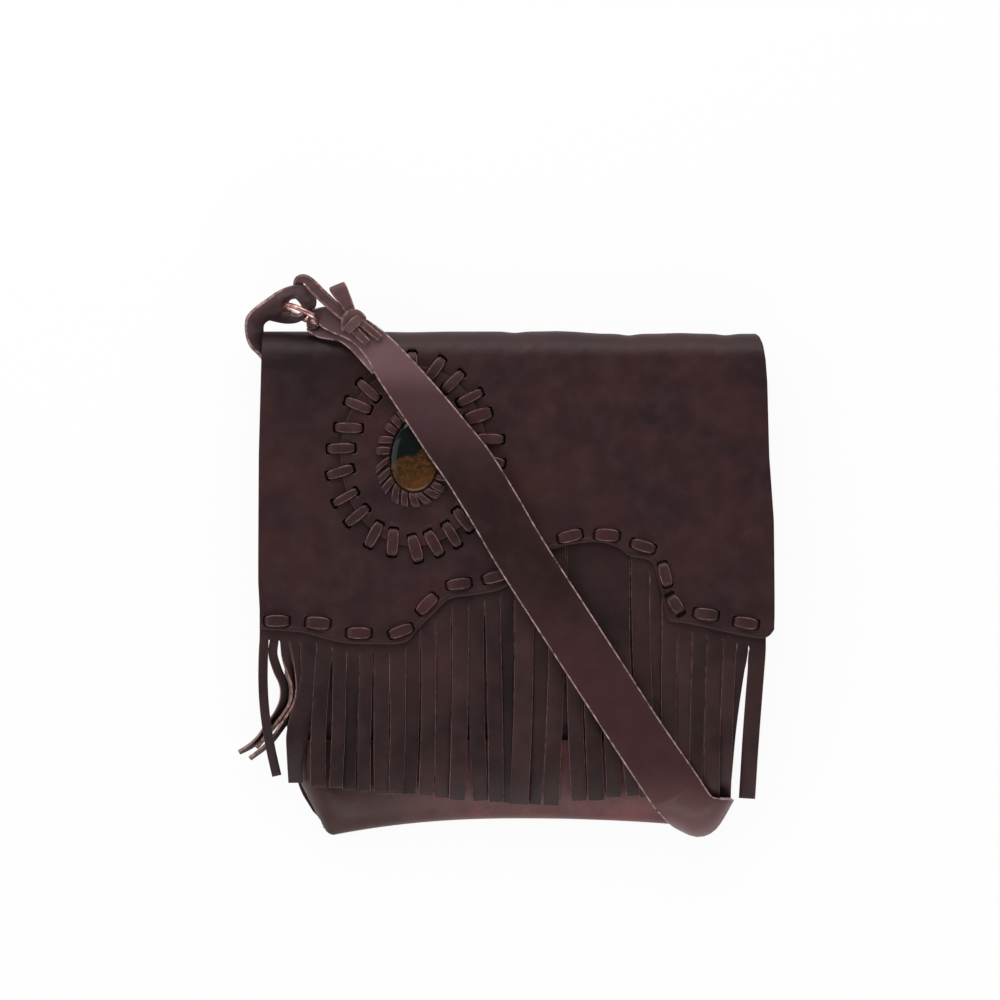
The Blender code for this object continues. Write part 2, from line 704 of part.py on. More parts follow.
def build_strap(finish):
    """One flat leather: from its sewn end under the bag, round the corner, over the front and the ring."""
    rows = []
    under = spline(STRAP_UNDER[::-1], 2)
    for i, (x, y) in enumerate(under):
        before = Vector(under[max(i - 1, 0)])
        after = Vector(under[min(i + 1, len(under) - 1)])
        d = (after - before).normalized()
        across = Vector((-d.y, d.x, 0))
        rows.append(strap_row(Vector((x * MM, y * MM, STRAP_LEATHER / 2)), across, STRAP_WIDTH))
    d = Vector((math.sin(CORNER_TURN), -math.cos(CORNER_TURN), 0))
    across = Vector((-d.y, d.x, 0))
    for distance, height in STRAP_WRAP[::-1]:
        middle = CORNER + d * (distance * MM + WRAP_OUT)
        middle.z = height * BAG_DEPTH + STRAP_LEATHER / 2
        weight = max(1 + distance / 20, 0)
        tilt = WRAP_TILT * min(max(-distance, 0) / 11, 1) * height / STRAP_WRAP[0][1]
        row = []
        for share, point in zip(STRAP_COLUMNS, strap_row(middle, across, STRAP_WIDTH)):
            u = share * STRAP_WIDTH / 2 / MM
            pull = 0.83 * max(-3 - u, 0) + 0.15 * max(u + 3, 0)
            row.append(point - d * (pull * weight * MM) + Vector((0, 0, share * tilt)))
        rows.append(row)
    run = spline(STRAP_RUN, 2)[::-1]
    for i, (x, y, z, width) in enumerate(run):
        before = Vector(run[max(i - 1, 0)][:2])
        after = Vector(run[min(i + 1, len(run) - 1)][:2])
        d = (before - after).normalized()
        middle = Vector((x * MM, y * MM, BAG_DEPTH + z * MM))
        rows.append(strap_row(middle, Vector((-d.y, d.x, 0)), width * MM))
    upper = []
    lower = []
    u, v, n = ring_axes()
    wire = RING_CENTRE + u * RING_RADIUS
    neck = spline(NECK, 2)
    for i, (x, y, z, turn, gap, width) in enumerate(neck):
        before = Vector(neck[max(i - 1, 0)][:2])
        after = Vector(neck[min(i + 1, len(neck) - 1)][:2])
        d = (after - before).normalized()
        turn = math.radians(turn)
        flat = Vector((-d.y, d.x, 0))
        across = flat * math.cos(turn) - Vector((0, 0, math.sin(turn)))
        normal = Vector((0, 0, math.cos(turn))) + flat * math.sin(turn)
        middle = Vector((x * MM, y * MM, BAG_DEPTH + z * MM))
        upper.append(strap_row(middle + normal * (gap * MM), across, width * MM))
        lower.append(strap_row(middle - normal * (gap * MM), across, width * MM))
    rows += upper[::-1]
    radius = WIRE_RADIUS + 2 * CLEAR + STRAP_LEATHER / 2
    for turn in (0, 45, 90, 135, 180):
        angle = math.radians(turn)
        middle = wire - n * (radius * math.cos(angle)) - u * ((radius + NECK_ROOM) * math.sin(angle))
        rows.append(strap_row(middle, -v, STRAP_NECK))
    rows += lower
    end = rows[-1]
    heading = (end[2] - rows[-2][2]).normalized()
    for distance, rise in STRAP_END:
        step = Vector((heading.x * distance, heading.y * distance, rise)) * MM
        rows.append([point + step for point in end])
    return sheet("shoulder_strap", rows, finish, STRAP_LEATHER)


# The tie lace: x, y and height above the flap of each stretch, and the way its width lies
TIE_STRIP = (
    (-119.2, 155.4, -3, 0), (-119.2, 160, -1.4, 0), (-119.6, 164.4, 1.9, 0), (-118.4, 166.2, 5.9, -35),
    (-113, 165.0, 6.8, -100), (-104.6, 158, 7.1, -133), (-96, 149.6, 7.0, -133), (-90, 145.5, 7.0, -133),
)
TIE_EAR = ((-90.5, 146, 6.9, 28), (-95, 155, 7.4, 28), (-99, 162, 8.6, 28))
TIE_TAILS = (
    ((-90, 146.5, 7.0, -133), (-84, 141, 7.6, -133), (-79, 136.5, 8.2, -133), (-75.2, 132.8, 8.4, -133)),
    ((-89.5, 145.5, 7.0, -158), (-87, 139.8, 7.5, -158), (-84.6, 133.4, 7.8, -158)),
)
TIE_WIDTH = 5.4 * MM
EAR_WIDTH = 6.6 * MM
TAIL_WIDTH = 3.8 * MM
KNOT = Vector((-90.4 * MM, 146.2 * MM, BAG_DEPTH + 7.4 * MM))
KNOT_RADII = (5.2 * MM, 4.2 * MM, 1.9 * MM)


def tie_part(name, path, width, finish):
    """One stretch of the tie lace."""
    rows = []
    for x, y, z, heading in spline(path, 2):
        turn = math.radians(heading)
        side = Vector((math.cos(turn), math.sin(turn), 0)) * (width / 2)
        middle = Vector((x * MM, y * MM, BAG_DEPTH + z * MM))
        rows.append([middle - side, middle + side])
    return sheet(name, rows, finish, LACE_LEATHER)


def build_tie(finish):
    """The lace tied through the doubled strap: a strip to the tab, a long ear, a knot and two tails."""
    bpy.ops.mesh.primitive_uv_sphere_add(segments=12, ring_count=8, radius=1, location=KNOT)
    knot = bpy.context.active_object
    knot.name = "tie_lace"
    knot.scale = KNOT_RADII
    bpy.ops.object.transform_apply(location=False, rotation=False, scale=True)
    knot.data.materials.append(finish)
    parts = [tie_part("tie_tail", path, TAIL_WIDTH, finish) for path in TIE_TAILS]
    parts.append(tie_part("tie_ear", TIE_EAR, EAR_WIDTH, finish))
    parts.append(tie_part("tie_strip", TIE_STRIP, TIE_WIDTH, finish))
    for part in parts:
        part.hide_render = True
        part.display_type = "WIRE"
        joined = knot.modifiers.new("Joined", "BOOLEAN")
        joined.operation = "UNION"
        joined.solver = "EXACT"
        joined.object = part
    return knot


def main():
    """Clears the scene and builds every piece."""
    for old in list(bpy.data.objects):
        bpy.data.objects.remove(old)
    brown = material("oiled brown leather", LEATHER_BROWN, 0.55)
    dark = material("dark fringe leather", DARK_LEATHER, 0.6)
    strap = material("strap leather", STRAP_BROWN, 0.5)
    copper = material("copper wire", COPPER, 0.25, 1.0)
    gold = material("polished stone", STONE_GOLD, 0.08)
    build_back_and_flap(brown)
    build_front_panel(brown)
    build_bottom_panel(brown)
    build_fringe(dark)
    build_edge_lace(brown)
    build_patch(brown)
    build_medallion_lace(brown)
    build_bezel_lace(brown)
    build_stone(gold)
    build_strap(strap)
    build_ring(copper)
    build_tab(strap)
    build_tie(strap)


main()
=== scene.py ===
"""The looks of a fringed leather shoulder bag that lies on its back.

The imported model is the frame: metres, +Z up out of the front of the bag, +Y towards its top fold. Sizes here
are in millimetres, and each mesh is turned to metres when it is made. The file follows the bag as it is put
together: studio, back and flap, front, bottom, fringe, lace, medallion, stone, strap, ring, tab, tie.
"""

import math

import bpy
import numpy as np
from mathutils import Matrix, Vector, noise


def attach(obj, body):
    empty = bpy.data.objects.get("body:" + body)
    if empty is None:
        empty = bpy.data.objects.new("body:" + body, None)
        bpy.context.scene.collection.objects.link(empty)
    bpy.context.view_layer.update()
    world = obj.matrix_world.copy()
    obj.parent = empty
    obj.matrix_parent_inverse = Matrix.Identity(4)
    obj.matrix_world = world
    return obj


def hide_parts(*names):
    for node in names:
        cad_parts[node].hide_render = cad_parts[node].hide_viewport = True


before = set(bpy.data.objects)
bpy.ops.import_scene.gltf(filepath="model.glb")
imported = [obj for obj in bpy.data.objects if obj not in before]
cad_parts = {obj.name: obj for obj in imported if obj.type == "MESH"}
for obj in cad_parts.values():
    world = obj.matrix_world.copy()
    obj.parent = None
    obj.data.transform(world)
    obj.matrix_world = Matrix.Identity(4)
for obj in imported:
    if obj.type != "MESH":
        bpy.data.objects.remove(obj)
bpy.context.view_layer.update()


# Studio: a plain pale floor under the bag, a pale room and three large soft lamps, low over its top, bottom
# and left, so that flat leather stays dark and rounded edges pick up light. The camera looks straight down.
def linear(code):
    """A colour written as sRGB hex, as the linear values that a shader takes."""
    parts = [int(code[i:i + 2], 16) / 255 for i in (1, 3, 5)]
    return tuple(v / 12.92 if v <= 0.04045 else ((v + 0.055) / 1.055) ** 2.4 for v in parts) + (1.0,)


def add(tree, kind, inputs=None, **settings):
    """A new shader node with its settings, its values and its links."""
    made = tree.nodes.new(kind)
    for name, value in settings.items():
        setattr(made, name, value)
    for name, value in (inputs or {}).items():
        if isinstance(value, bpy.types.NodeSocket):
            tree.links.new(value, made.inputs[name])
        else:
            made.inputs[name].default_value = value
    return made


def new_finish(name):
    """A new finish with its shader tree and its shader."""
    made = bpy.data.materials.new(name)
    made.use_nodes = True
    return made, made.node_tree, made.node_tree.nodes["Principled BSDF"]


def larger(tree, one, other):
    """The larger of two values."""
    return add(tree, "ShaderNodeMath", {0: one, 1: other}, operation="MAXIMUM").outputs[0]


CAMERA_MIDDLE = (-10.1, 45.3)
CAMERA_HEIGHT = 4578.0
LENS = 300.0
FLOOR_WHITENESS = 0.93
LAMP_TINT = (1.0, 0.94, 0.95)
LAMPS = (
    ("lamp_above_fold", (-0.15, 1.05, 0.70), 1.3, 0.7, 12.0),
    ("lamp_below_bag", (0.10, -0.95, 0.65), 1.3, 0.6, 6.6),
    ("lamp_left", (-1.05, 0.15, 0.85), 0.7, 0.9, 3.0),
)

camera = bpy.data.objects.new("camera", bpy.data.cameras.new("camera"))
bpy.context.scene.collection.objects.link(camera)
camera.data.lens = LENS
camera.location = (CAMERA_MIDDLE[0] / 1000, CAMERA_MIDDLE[1] / 1000, CAMERA_HEIGHT / 1000)
bpy.context.scene.camera = camera
bpy.context.scene.view_settings.view_transform = "Standard"

bpy.ops.object.select_all(action="DESELECT")
bpy.ops.mesh.primitive_plane_add(size=6, location=(0, 0, -0.0004))
floor = bpy.context.active_object
floor.name = "studio_floor"
paint, tree, surface = new_finish("matt white studio floor")
surface.inputs["Base Color"].default_value = linear("#f2f2f2")
surface.inputs["Roughness"].default_value = 0.9
light = add(tree, "ShaderNodeLightPath").outputs
seen = larger(tree, light["Is Camera Ray"], light["Is Glossy Ray"])
seen = larger(tree, seen, light["Is Transmission Ray"])
share = add(tree, "ShaderNodeMath", {0: seen, 1: FLOOR_WHITENESS}, operation="MULTIPLY")
white = add(tree, "ShaderNodeEmission", {"Color": (1, 1, 1, 1), "Strength": 1.0})
both = add(tree, "ShaderNodeMixShader", {0: share.outputs[0], 1: surface.outputs[0], 2: white.outputs[0]})
tree.links.new(both.outputs[0], tree.nodes["Material Output"].inputs["Surface"])
floor.data.materials.append(paint)

room = bpy.data.worlds.new("pale room")
room.use_nodes = True
bpy.context.scene.world = room
tree = room.node_tree
way = add(tree, "ShaderNodeTexCoord")
height = add(tree, "ShaderNodeSeparateXYZ", {0: way.outputs["Generated"]})
level = add(tree, "ShaderNodeMapRange", {"Value": height.outputs["Z"], "From Min": 0.15, "From Max": 0.75,
                                         "To Min": 1.1, "To Max": 0.2})
tree.links.new(level.outputs[0], tree.nodes["Background"].inputs["Strength"])
tree.nodes["Background"].inputs["Color"].default_value = (1, 1, 1, 1)

for name, place, wide, tall, power in LAMPS:
    lamp = bpy.data.objects.new(name, bpy.data.lights.new(name, "AREA"))
    bpy.context.scene.collection.objects.link(lamp)
    lamp.data.shape = "RECTANGLE"
    lamp.data.size = wide
    lamp.data.size_y = tall
    lamp.data.energy = power
    lamp.data.color = LAMP_TINT
    lamp.location = place
    lamp.rotation_euler = (-Vector(place)).to_track_quat("-Z", "Y").to_euler()


# Back and flap: one hide of oiled brown leather, 2 mm thick. It is the back, turns over the top in a soft
# round fold, and comes down the front to a wavy edge that is punched for the lace and creased just inside.
DEPTH = 30.0
LEATHER = 2.0
TOP_Y = 137.6
FOLD_Y = TOP_Y - DEPTH / 2
SEAM_Y = -86.0
BOTTOM_Y = -129.0
FRONT_TOP = 24.0
# How far the pouch's sides lie from the middle, by y
LEFT_SIDE = ((116, 133), (40, 130), (-60, 128), (-86, 126), (-106, 119.3), (-123, 108.4), (-129, 104))
RIGHT_SIDE = ((116, 126), (40, 125), (-20, 122), (-60, 119), (-86, 116.5), (-106, 112.5), (-121, 105),
              (-129, 99.5))
FOLD_LEFT = 140.4
FOLD_RIGHT = 134.9
CORNER = (-99.4, -129.9)
CORNER_RADIUS = 9.0
# The flap's two sides: y and x
FLAP_LEFT_SIDE = ((137.6, -139.0), (136, -139.8), (122, -140.4), (70, -141.8), (0, -142.2), (-26, -141.0))
FLAP_RIGHT_SIDE = ((137.6, 129.6), (136, 131.6), (131, 133.5), (122, 134.9), (110, 135.8), (69, 136.9),
                   (34, 139.4), (-20, 140.0), (-30, 139.4))
FLAP_EDGE = (
    (-141.0, -25.4), (-127.5, -26.2), (-116.6, -27.3), (-103, -31.1), (-94, -32.8), (-80.5, -33.3),
    (-67, -33.3), (-59.8, -31.1), (-55.4, -25.7), (-46, -16.4), (-37.4, -8.6), (-24, -6.4), (-9.6, -3.4),
    (2, 5.5), (10, 13), (19.4, 18.6), (29.8, 21.3), (43.4, 22.4), (53.8, 19.7), (60.9, 14.7), (71.3, 12.5),
    (74.6, 7.0), (77.3, -3.3), (80, -15.8), (82.6, -20.6), (90.4, -21.8), (99.1, -23.5), (115.5, -27.3),
    (131.0, -30.2), (136.6, -29.0), (139.6, -25.4),
)
# Each stitch: x and y of its middle, and its direction in degrees
EDGE_STITCHES = (
    (-131.9, -20.7, 0), (-109.5, -21.8, -5), (-87.1, -27.3, 0), (-64.2, -26.2, 20), (-50.0, -11.5, 46),
    (-32.5, -0.5, 8), (-12.8, 3.3, 15), (7.9, 13.5, 35), (28.1, 25.6, 14), (48.3, 26.2, -4),
    (68.0, 20.2, -17), (80.0, 4.6, -76), (85.7, -11.6, -58), (102.4, -17.0, -7), (124.2, -21.8, -9),
)
EDGE_STITCH = 12.4
ROUND_STITCHES = (
    (-81.8, 105.1, -43), (-87.5, 97.0, -22), (-92.7, 84.7, -2), (-96.8, 73.5, 2), (-97.3, 60.6, 17),
    (-94.5, 46.8, 30), (-88.1, 36.7, 39), (-78.9, 26.4, 62), (-68.6, 22.3, 86), (-56.3, 18.9, 106),
    (-46.2, 21.7, 119), (-36.4, 26.4, 121), (-30.1, 34.4, 128), (-22.7, 44.2, 138), (-17.2, 55.1, 152),
    (-15.0, 66.6, 168), (-15.7, 78.7, 178), (-22.0, 91.3, 197), (-26.6, 101.1, 207), (-35.8, 109.7, 225),
    (-45.6, 116.6, 234), (-58.2, 118.5, 268), (-70.2, 114.7, 298),
)
ROUND_STITCH = 14.2
LACE_WIDTH = 6.4
LACE_THICK = 1.5
SLOT_LENGTH = 2.8
SLOT_WIDTH = 6.0
FLAP_CUT = (26.5, 33.0)
FLAP_COLUMNS = 220
FADE_ROWS = 12
CREASE_INSET = 3.1
# Dents in the top of the fold: middle, depth and half width
FLAP_DIPS = ((-2, 0.7, 5), (60.3, 0.9, 5), (113.3, 0.8, 5), (-60, 0.4, 14), (28, -0.4, 12), (88, -0.4, 9))
LEATHER_DEEP = "#25161a"
LEATHER_BROWN = "#301c1c"
LEATHER_RED = "#381e1e"
LEATHER_WORN = "#3f2829"
RAW_EDGE = "#94706a"


def clouded(tree, place, scale, detail, roughness=0.5):
    """Cloudy values that vary from place to place."""
    return add(tree, "ShaderNodeTexNoise", {"Vector": place, "Scale": scale, "Detail": detail,
                                            "Roughness": roughness}).outputs[0]


def ranged(tree, value, start, end, low=0.0, high=1.0, curve="LINEAR"):
    """A value between start and end turned into one between low and high, and held there beyond."""
    limits = {"Value": value, "From Min": start, "From Max": end, "To Min": low, "To Max": high}
    return add(tree, "ShaderNodeMapRange", limits, interpolation_type=curve).outputs[0]


def mixed(tree, share, one, other):
    """Two colours mixed; each is a socket or sRGB hex, and share is that of the second."""
    one, other = (linear(colour) if isinstance(colour, str) else colour for colour in (one, other))
    return add(tree, "ShaderNodeMix", {0: share, 6: one, 7: other}, data_type="RGBA").outputs[2]


def oiled_leather(name, deep, brown, red, worn, rough, streaks=0.0, grain=1.0):
    """Oiled, drum-dyed cowhide: cloudy dye, a low satin gloss, fine pores and soft creases."""
    made, tree, shader = new_finish(name)
    place = add(tree, "ShaderNodeTexCoord").outputs["Object"]
    # Dye clouds 30 to 50 mm across, and smaller blotches 8 to 12 mm across
    clouds = clouded(tree, place, 24.0, 2.5)
    blotches = clouded(tree, place, 95.0, 4.0, 0.6)
    moved = add(tree, "ShaderNodeMapping", {"Vector": place, "Location": (3.1, 1.7, 0.4)})
    reds = clouded(tree, moved.outputs[0], 30.0, 2.0)
    # Rub lines along the leather, 1 mm apart
    drawn = add(tree, "ShaderNodeMapping", {"Vector": place, "Scale": (1.0, 0.06, 1.0)})
    rubs = clouded(tree, drawn.outputs[0], 420.0, 3.0)
    base = mixed(tree, ranged(tree, clouds, 0.3, 0.7), deep, brown)
    base = mixed(tree, ranged(tree, reds, 0.42, 0.66, high=0.8), base, red)
    base = mixed(tree, ranged(tree, blotches, 0.45, 0.75, high=0.4), base, worn)
    base = mixed(tree, ranged(tree, rubs, 0.5, 0.8, high=streaks), base, worn)
    tree.links.new(base, shader.inputs["Base Color"])
    gloss = ranged(tree, blotches, 0.3, 0.7, rough - 0.07, rough + 0.07)
    tree.links.new(gloss, shader.inputs["Roughness"])
    # Pores 1.3 mm apart, a little coarser than real so that they show, and creases 5 mm apart
    pores = add(tree, "ShaderNodeTexVoronoi", {"Vector": place, "Scale": 760.0, "Smoothness": 0.7},
                feature="SMOOTH_F1")
    creases = add(tree, "ShaderNodeTexNoise", {"Vector": place, "Scale": 210.0, "Detail": 5.0,
                                               "Roughness": 0.6, "Distortion": 0.4})
    low = add(tree, "ShaderNodeBump", {"Height": creases.outputs[0], "Strength": 0.35 * grain,
                                       "Distance": 0.0007})
    fine = add(tree, "ShaderNodeBump", {"Height": pores.outputs["Distance"], "Normal": low.outputs[0],
                                        "Strength": 0.3 * grain, "Distance": 0.00015})
    tree.links.new(fine.outputs[0], shader.inputs["Normal"])
    shader.inputs["IOR"].default_value = 1.5
    shader.inputs["Specular IOR Level"].default_value = 0.22
    return made


def raw_edge(name, code):
    """The cut edge of dyed cowhide: the paler, dry, fibrous middle of the hide."""
    made, tree, shader = new_finish(name)
    place = add(tree, "ShaderNodeTexCoord").outputs["Object"]
    fibres = clouded(tree, place, 260.0, 5.0, 0.7)
    base = mixed(tree, ranged(tree, fibres, 0.35, 0.65), LEATHER_WORN, code)
    tree.links.new(base, shader.inputs["Base Color"])
    bump = add(tree, "ShaderNodeBump", {"Height": fibres, "Strength": 0.5, "Distance": 0.0003})
    tree.links.new(bump.outputs[0], shader.inputs["Normal"])
    shader.inputs["Roughness"].default_value = 0.8
    shader.inputs["Specular IOR Level"].default_value = 0.25
    return made


def dyed(finish, level):
    """Makes the colour of a finish as many times lighter as a value in its shader tree says; used for dye and
    for painted light and shade.
    """
    tree = finish.node_tree
    colour = tree.nodes["Principled BSDF"].inputs["Base Color"]
    scaled = add(tree, "ShaderNodeVectorMath", {0: colour.links[0].from_socket, "Scale": level},
                 operation="SCALE")
    tree.links.new(scaled.outputs[0], colour)


def spline(points, steps):
    """A smooth curve through points of any dimension, with this many steps between each two."""
    made = []
    last = len(points) - 1
    for i in range(last):
        a, b, c, d = (np.array(points[min(max(i + k, 0), last)], float) for k in (-1, 0, 1, 2))
        for step in range(steps):
            t = step / steps
            made.append(0.5 * (2 * b + (c - a) * t + (2 * a - 5 * b + 4 * c - d) * t * t
                               + (3 * b - a - 3 * c + d) * t ** 3))
    made.append(np.array(points[last], float))
    return np.array(made)


def even(curve, count):
    """The same curve with its points evenly spaced along it."""
    steps = np.linalg.norm(np.diff(curve, axis=0), axis=1)
    run = np.concatenate([[0], np.cumsum(steps)])
    spots = np.linspace(0, run[-1], count)
    return np.stack([np.interp(spots, run, curve[:, k]) for k in range(curve.shape[1])], axis=1)


def read(table, value):
    """The value of a table of pairs, read between its lines."""
    pairs = sorted(table)
    return np.interp(value, [a for a, b in pairs], [b for a, b in pairs])


def clamped(value):
    """A value held between 0 and 1."""
    return min(max(value, 0), 1)


def waver(x, y, z):
    """A smooth value between -1 and 1 that varies from place to place."""
    return noise.noise(Vector((x, y, z)))


def finished(name, points, faces, finishes, pale=()):
    """A mesh object of these points in millimetres; the faces in pale take the second finish."""
    mesh = bpy.data.meshes.new(name)
    mesh.from_pydata([tuple(float(v) / 1000 for v in point) for point in points], [], faces)
    for finish in finishes:
        mesh.materials.append(finish)
    for index in pale:
        mesh.polygons[index].material_index = 1
    mesh.update()
    made = bpy.data.objects.new(name, mesh)
    bpy.context.scene.collection.objects.link(made)
    made.data.shade_smooth()
    return made


def apply_all(made):
    """Applies each modifier of a piece, in order."""
    bpy.ops.object.select_all(action="DESELECT")
    bpy.context.view_layer.objects.active = made
    made.select_set(True)
    for modifier in list(made.modifiers):
        bpy.ops.object.modifier_apply(modifier=modifier.name)


def leathered(made, thickness, offset=-1.0, bevel=0.45):
    """Gives a sheet its thickness, and its cut edge the rounded, paler finish."""
    solid = made.modifiers.new("Leather", "SOLIDIFY")
    solid.thickness = thickness / 1000
    solid.offset = offset
    solid.use_quality_normals = True
    solid.material_offset_rim = 1
    edge = made.modifiers.new("Edge", "BEVEL")
    edge.width = bevel / 1000
    edge.segments = 2
    edge.limit_method = "ANGLE"
    edge.angle_limit = math.radians(50)
    edge.material = 1
    apply_all(made)
    bpy.ops.object.shade_smooth_by_angle(angle=math.radians(40))


def grid_faces(rows, columns, closed=False):
    """Quads between rows of points; closed joins the last column to the first."""
    return [
        (i * columns + j, i * columns + (j + 1) % columns, (i + 1) * columns + (j + 1) % columns,
         (i + 1) * columns + j)
        for i in range(rows - 1) for j in range(columns if closed else columns - 1)
    ]


def hide_of(name, rows, finishes, pale=(), closed=False):
    """A mesh object of rows of points, each row as long as the first."""
    points = [point for row in rows for point in row]
    return finished(name, points, grid_faces(len(rows), len(rows[0]), closed), finishes, pale)


def back_z(x):
    """Height of the outer side of the back, which is lifted over the strap at the right."""
    return 2.5 * np.clip((np.asarray(x, float) - 20) / 25, 0, 1)


def bottom_y(x):
    """The bottom outline of the pouch, which droops to its corners."""
    x = np.asarray(x, float)
    reach = np.where(x < 0, 104.0, 100.0)
    droop = np.where(x < 0, 9.6, 4.4)
    return BOTTOM_Y - 0.5 - droop * np.minimum(np.abs(x) / reach, 1) ** 2.2


def rounded_corner(x, y):
    """Moves a spot beyond the rounded lower left corner back on to its curve."""
    dx, dy = x - CORNER[0], y - CORNER[1]
    reach = math.hypot(dx, dy)
    if dx < 0 and dy < 0 and reach > CORNER_RADIUS:
        beyond = 1 - CORNER_RADIUS / reach
        return x - dx * beyond, y - dy * beyond
    return x, y


def flap_lie(x, y):
    """How far the soft flap rises or dips at a spot."""
    broad = waver(x / 55, y / 60, 3.0)
    small = waver(x / 18, y / 22, 7.0)
    return 0.45 * broad + 0.15 * small


def stitch_ends(stitches, length):
    """The two slots of each stitch: middle and direction."""
    made = []
    for x, y, angle in stitches:
        way = np.array([math.cos(math.radians(angle)), math.sin(math.radians(angle))])
        for end in (-1, 1):
            made.append((np.array([x, y]) + way * (end * length / 2), way))
    return made


def slot_cutter(name, slots, low, high):
    """One cutter with a round-ended prism for each slot."""
    around = 12
    radius = SLOT_LENGTH / 2
    reach = SLOT_WIDTH / 2 - radius
    points = []
    faces = []
    for middle, way in slots:
        side = np.array([-way[1], way[0]])
        outline = []
        for k in range(around):
            turn = 2 * math.pi * (k + 0.5) / around
            v = radius * math.sin(turn) + math.copysign(reach, math.sin(turn))
            outline.append(middle + way * (radius * math.cos(turn)) + side * v)
        low_ring = range(len(points), len(points) + around)
        high_ring = range(len(points) + around, len(points) + 2 * around)
        for z in (low, high):
            points += [(spot[0], spot[1], z) for spot in outline]
        faces.append(tuple(low_ring[::-1]))
        faces.append(tuple(high_ring))
        for k in range(around):
            m = (k + 1) % around
            faces.append((low_ring[k], low_ring[m], high_ring[m], high_ring[k]))
    return finished(name, points, faces, ())


def punched(made, cutter):
    """Cuts the slots through a piece and removes the cutter."""
    cut = made.modifiers.new("Slots", "BOOLEAN")
    cut.operation = "DIFFERENCE"
    cut.solver = "MANIFOLD"
    cut.object = cutter
    apply_all(made)
    bpy.data.objects.remove(cutter)


hide = oiled_leather("oiled brown cowhide", LEATHER_DEEP, LEATHER_BROWN, LEATHER_RED, LEATHER_WORN, 0.5)
hide_edge = raw_edge("raw edge of the cowhide", RAW_EDGE)
# Painted shadow: the hide is painted darker round its upper left corner, where the strap's end lies over it
# and shades it
tree = hide.node_tree
apart = add(tree, "ShaderNodeVectorMath", {0: add(tree, "ShaderNodeTexCoord").outputs["Object"],
                                           1: (-0.104, 0.128, 0.030)}, operation="DISTANCE")
dyed(hide, ranged(tree, apart.outputs["Value"], 0.012, 0.052, 0.55, 1.0, "SMOOTHSTEP"))

edge_slots = stitch_ends(EDGE_STITCHES, EDGE_STITCH)
round_slots = stitch_ends(ROUND_STITCHES, ROUND_STITCH)
slot_spots = np.array([middle for middle, way in edge_slots + round_slots])

wavy = even(spline(FLAP_EDGE, 8), FLAP_COLUMNS)
across = np.linspace(-1, 1, FLAP_COLUMNS)
spread = 2 * (wavy[:, 0] - wavy[0, 0]) / (wavy[-1, 0] - wavy[0, 0]) - 1
# Rows from the wavy edge up to the fold, closest together at the edge
rows = []
for t in 1 - np.concatenate([np.arange(0, 9, 0.75) / 150, np.linspace(0.06, 1, 84)]):
    y = FOLD_Y + t * (wavy[:, 1] - FOLD_Y)
    left = read(FLAP_LEFT_SIDE, y)
    right = read(FLAP_RIGHT_SIDE, y)
    share = spread * t + across * (1 - t)
    plain = left + (share + 1) / 2 * (right - left)
    near = t ** 12
    x = plain * (1 - near) + wavy[:, 0] * near
    rows.append([(a, b, DEPTH) for a, b in zip(x, y)])
front = len(rows)
for turn in np.linspace(180, 0, 25)[1:-1]:
    a = math.radians(turn)
    row = []
    for s in across:
        y = FOLD_Y + DEPTH / 2 * math.sin(a)
        left, right = read(FLAP_LEFT_SIDE, y), read(FLAP_RIGHT_SIDE, y)
        x = left + (s + 1) / 2 * (right - left)
        low = float(back_z(x))
        radius = (DEPTH - low) / 2
        dip = sum(depth * math.exp(-((x - middle) / wide) ** 2) for middle, depth, wide in FLAP_DIPS)
        row.append((x, FOLD_Y + (radius - dip) * math.sin(a), low + radius * (1 - math.cos(a))))
    rows.append(row)
for t in np.linspace(0, 1, 60):
    row = []
    nominal = FOLD_Y + t * (BOTTOM_Y - FOLD_Y)
    mix = min(t / 0.2, 1)
    mix = mix * mix * (3 - 2 * mix)
    for s in across:
        fold_x, side = (FOLD_LEFT, LEFT_SIDE) if s < 0 else (FOLD_RIGHT, RIGHT_SIDE)
        x = s * ((1 - mix) * fold_x + mix * read(side, nominal))
        row.append((*rounded_corner(x, FOLD_Y + t * (float(bottom_y(x)) - FOLD_Y)), float(back_z(x))))
    rows.append(row)
points = np.array(rows)
for i in range(front + FADE_ROWS):
    fade = 1.0 if i < front else 1 - (i - front) / FADE_ROWS
    for j in range(FLAP_COLUMNS):
        x, y, z = points[i, j]
        lift = flap_lie(x, y)
        top = math.exp(-((y - 131) / 6) ** 2)
        lift += top * 0.5 * waver(x / 5.5, y / 30, 1.0)
        away = np.hypot(slot_spots[:, 0] - x, slot_spots[:, 1] - y).min()
        lift -= 0.55 * math.exp(-(away / 3.2) ** 2)
        if i < 24:
            border = np.hypot(wavy[:, 0] - x, wavy[:, 1] - y).min()
            crease = 0.3 * math.exp(-((border - CREASE_INSET) / 0.7) ** 2)
            lift -= crease + 0.35 * math.exp(-(border / 0.6) ** 2)
        points[i, j, 2] = z + fade * lift
flap = hide_of("flap_leather", points, (hide, hide_edge))
leathered(flap, LEATHER)
punched(flap, slot_cutter("slots", edge_slots + round_slots, *FLAP_CUT))
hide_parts("back_and_flap")
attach(flap, "bag")


# Front panel: the front wall of the pouch, one sheet of the same leather, rolled down at both sides and sewn
# to the back. Only its lower part shows, in the gaps of the fringe.
SIDE_ROUND = 14.0
RIM_ROOM = 1.7
FRONT_ROOM = 0.8
LAP_INSET = 2.6
# Rows of the front: height, and how far each lies under the bottom panel, 0 to 1
FRONT_ROWS = ((116, 0), (100, 0), (70, 0), (40, 0), (0, 0), (-40, 0), (-72, 0), (-75, 0.5), (-78, 1),
              (-94, 1))


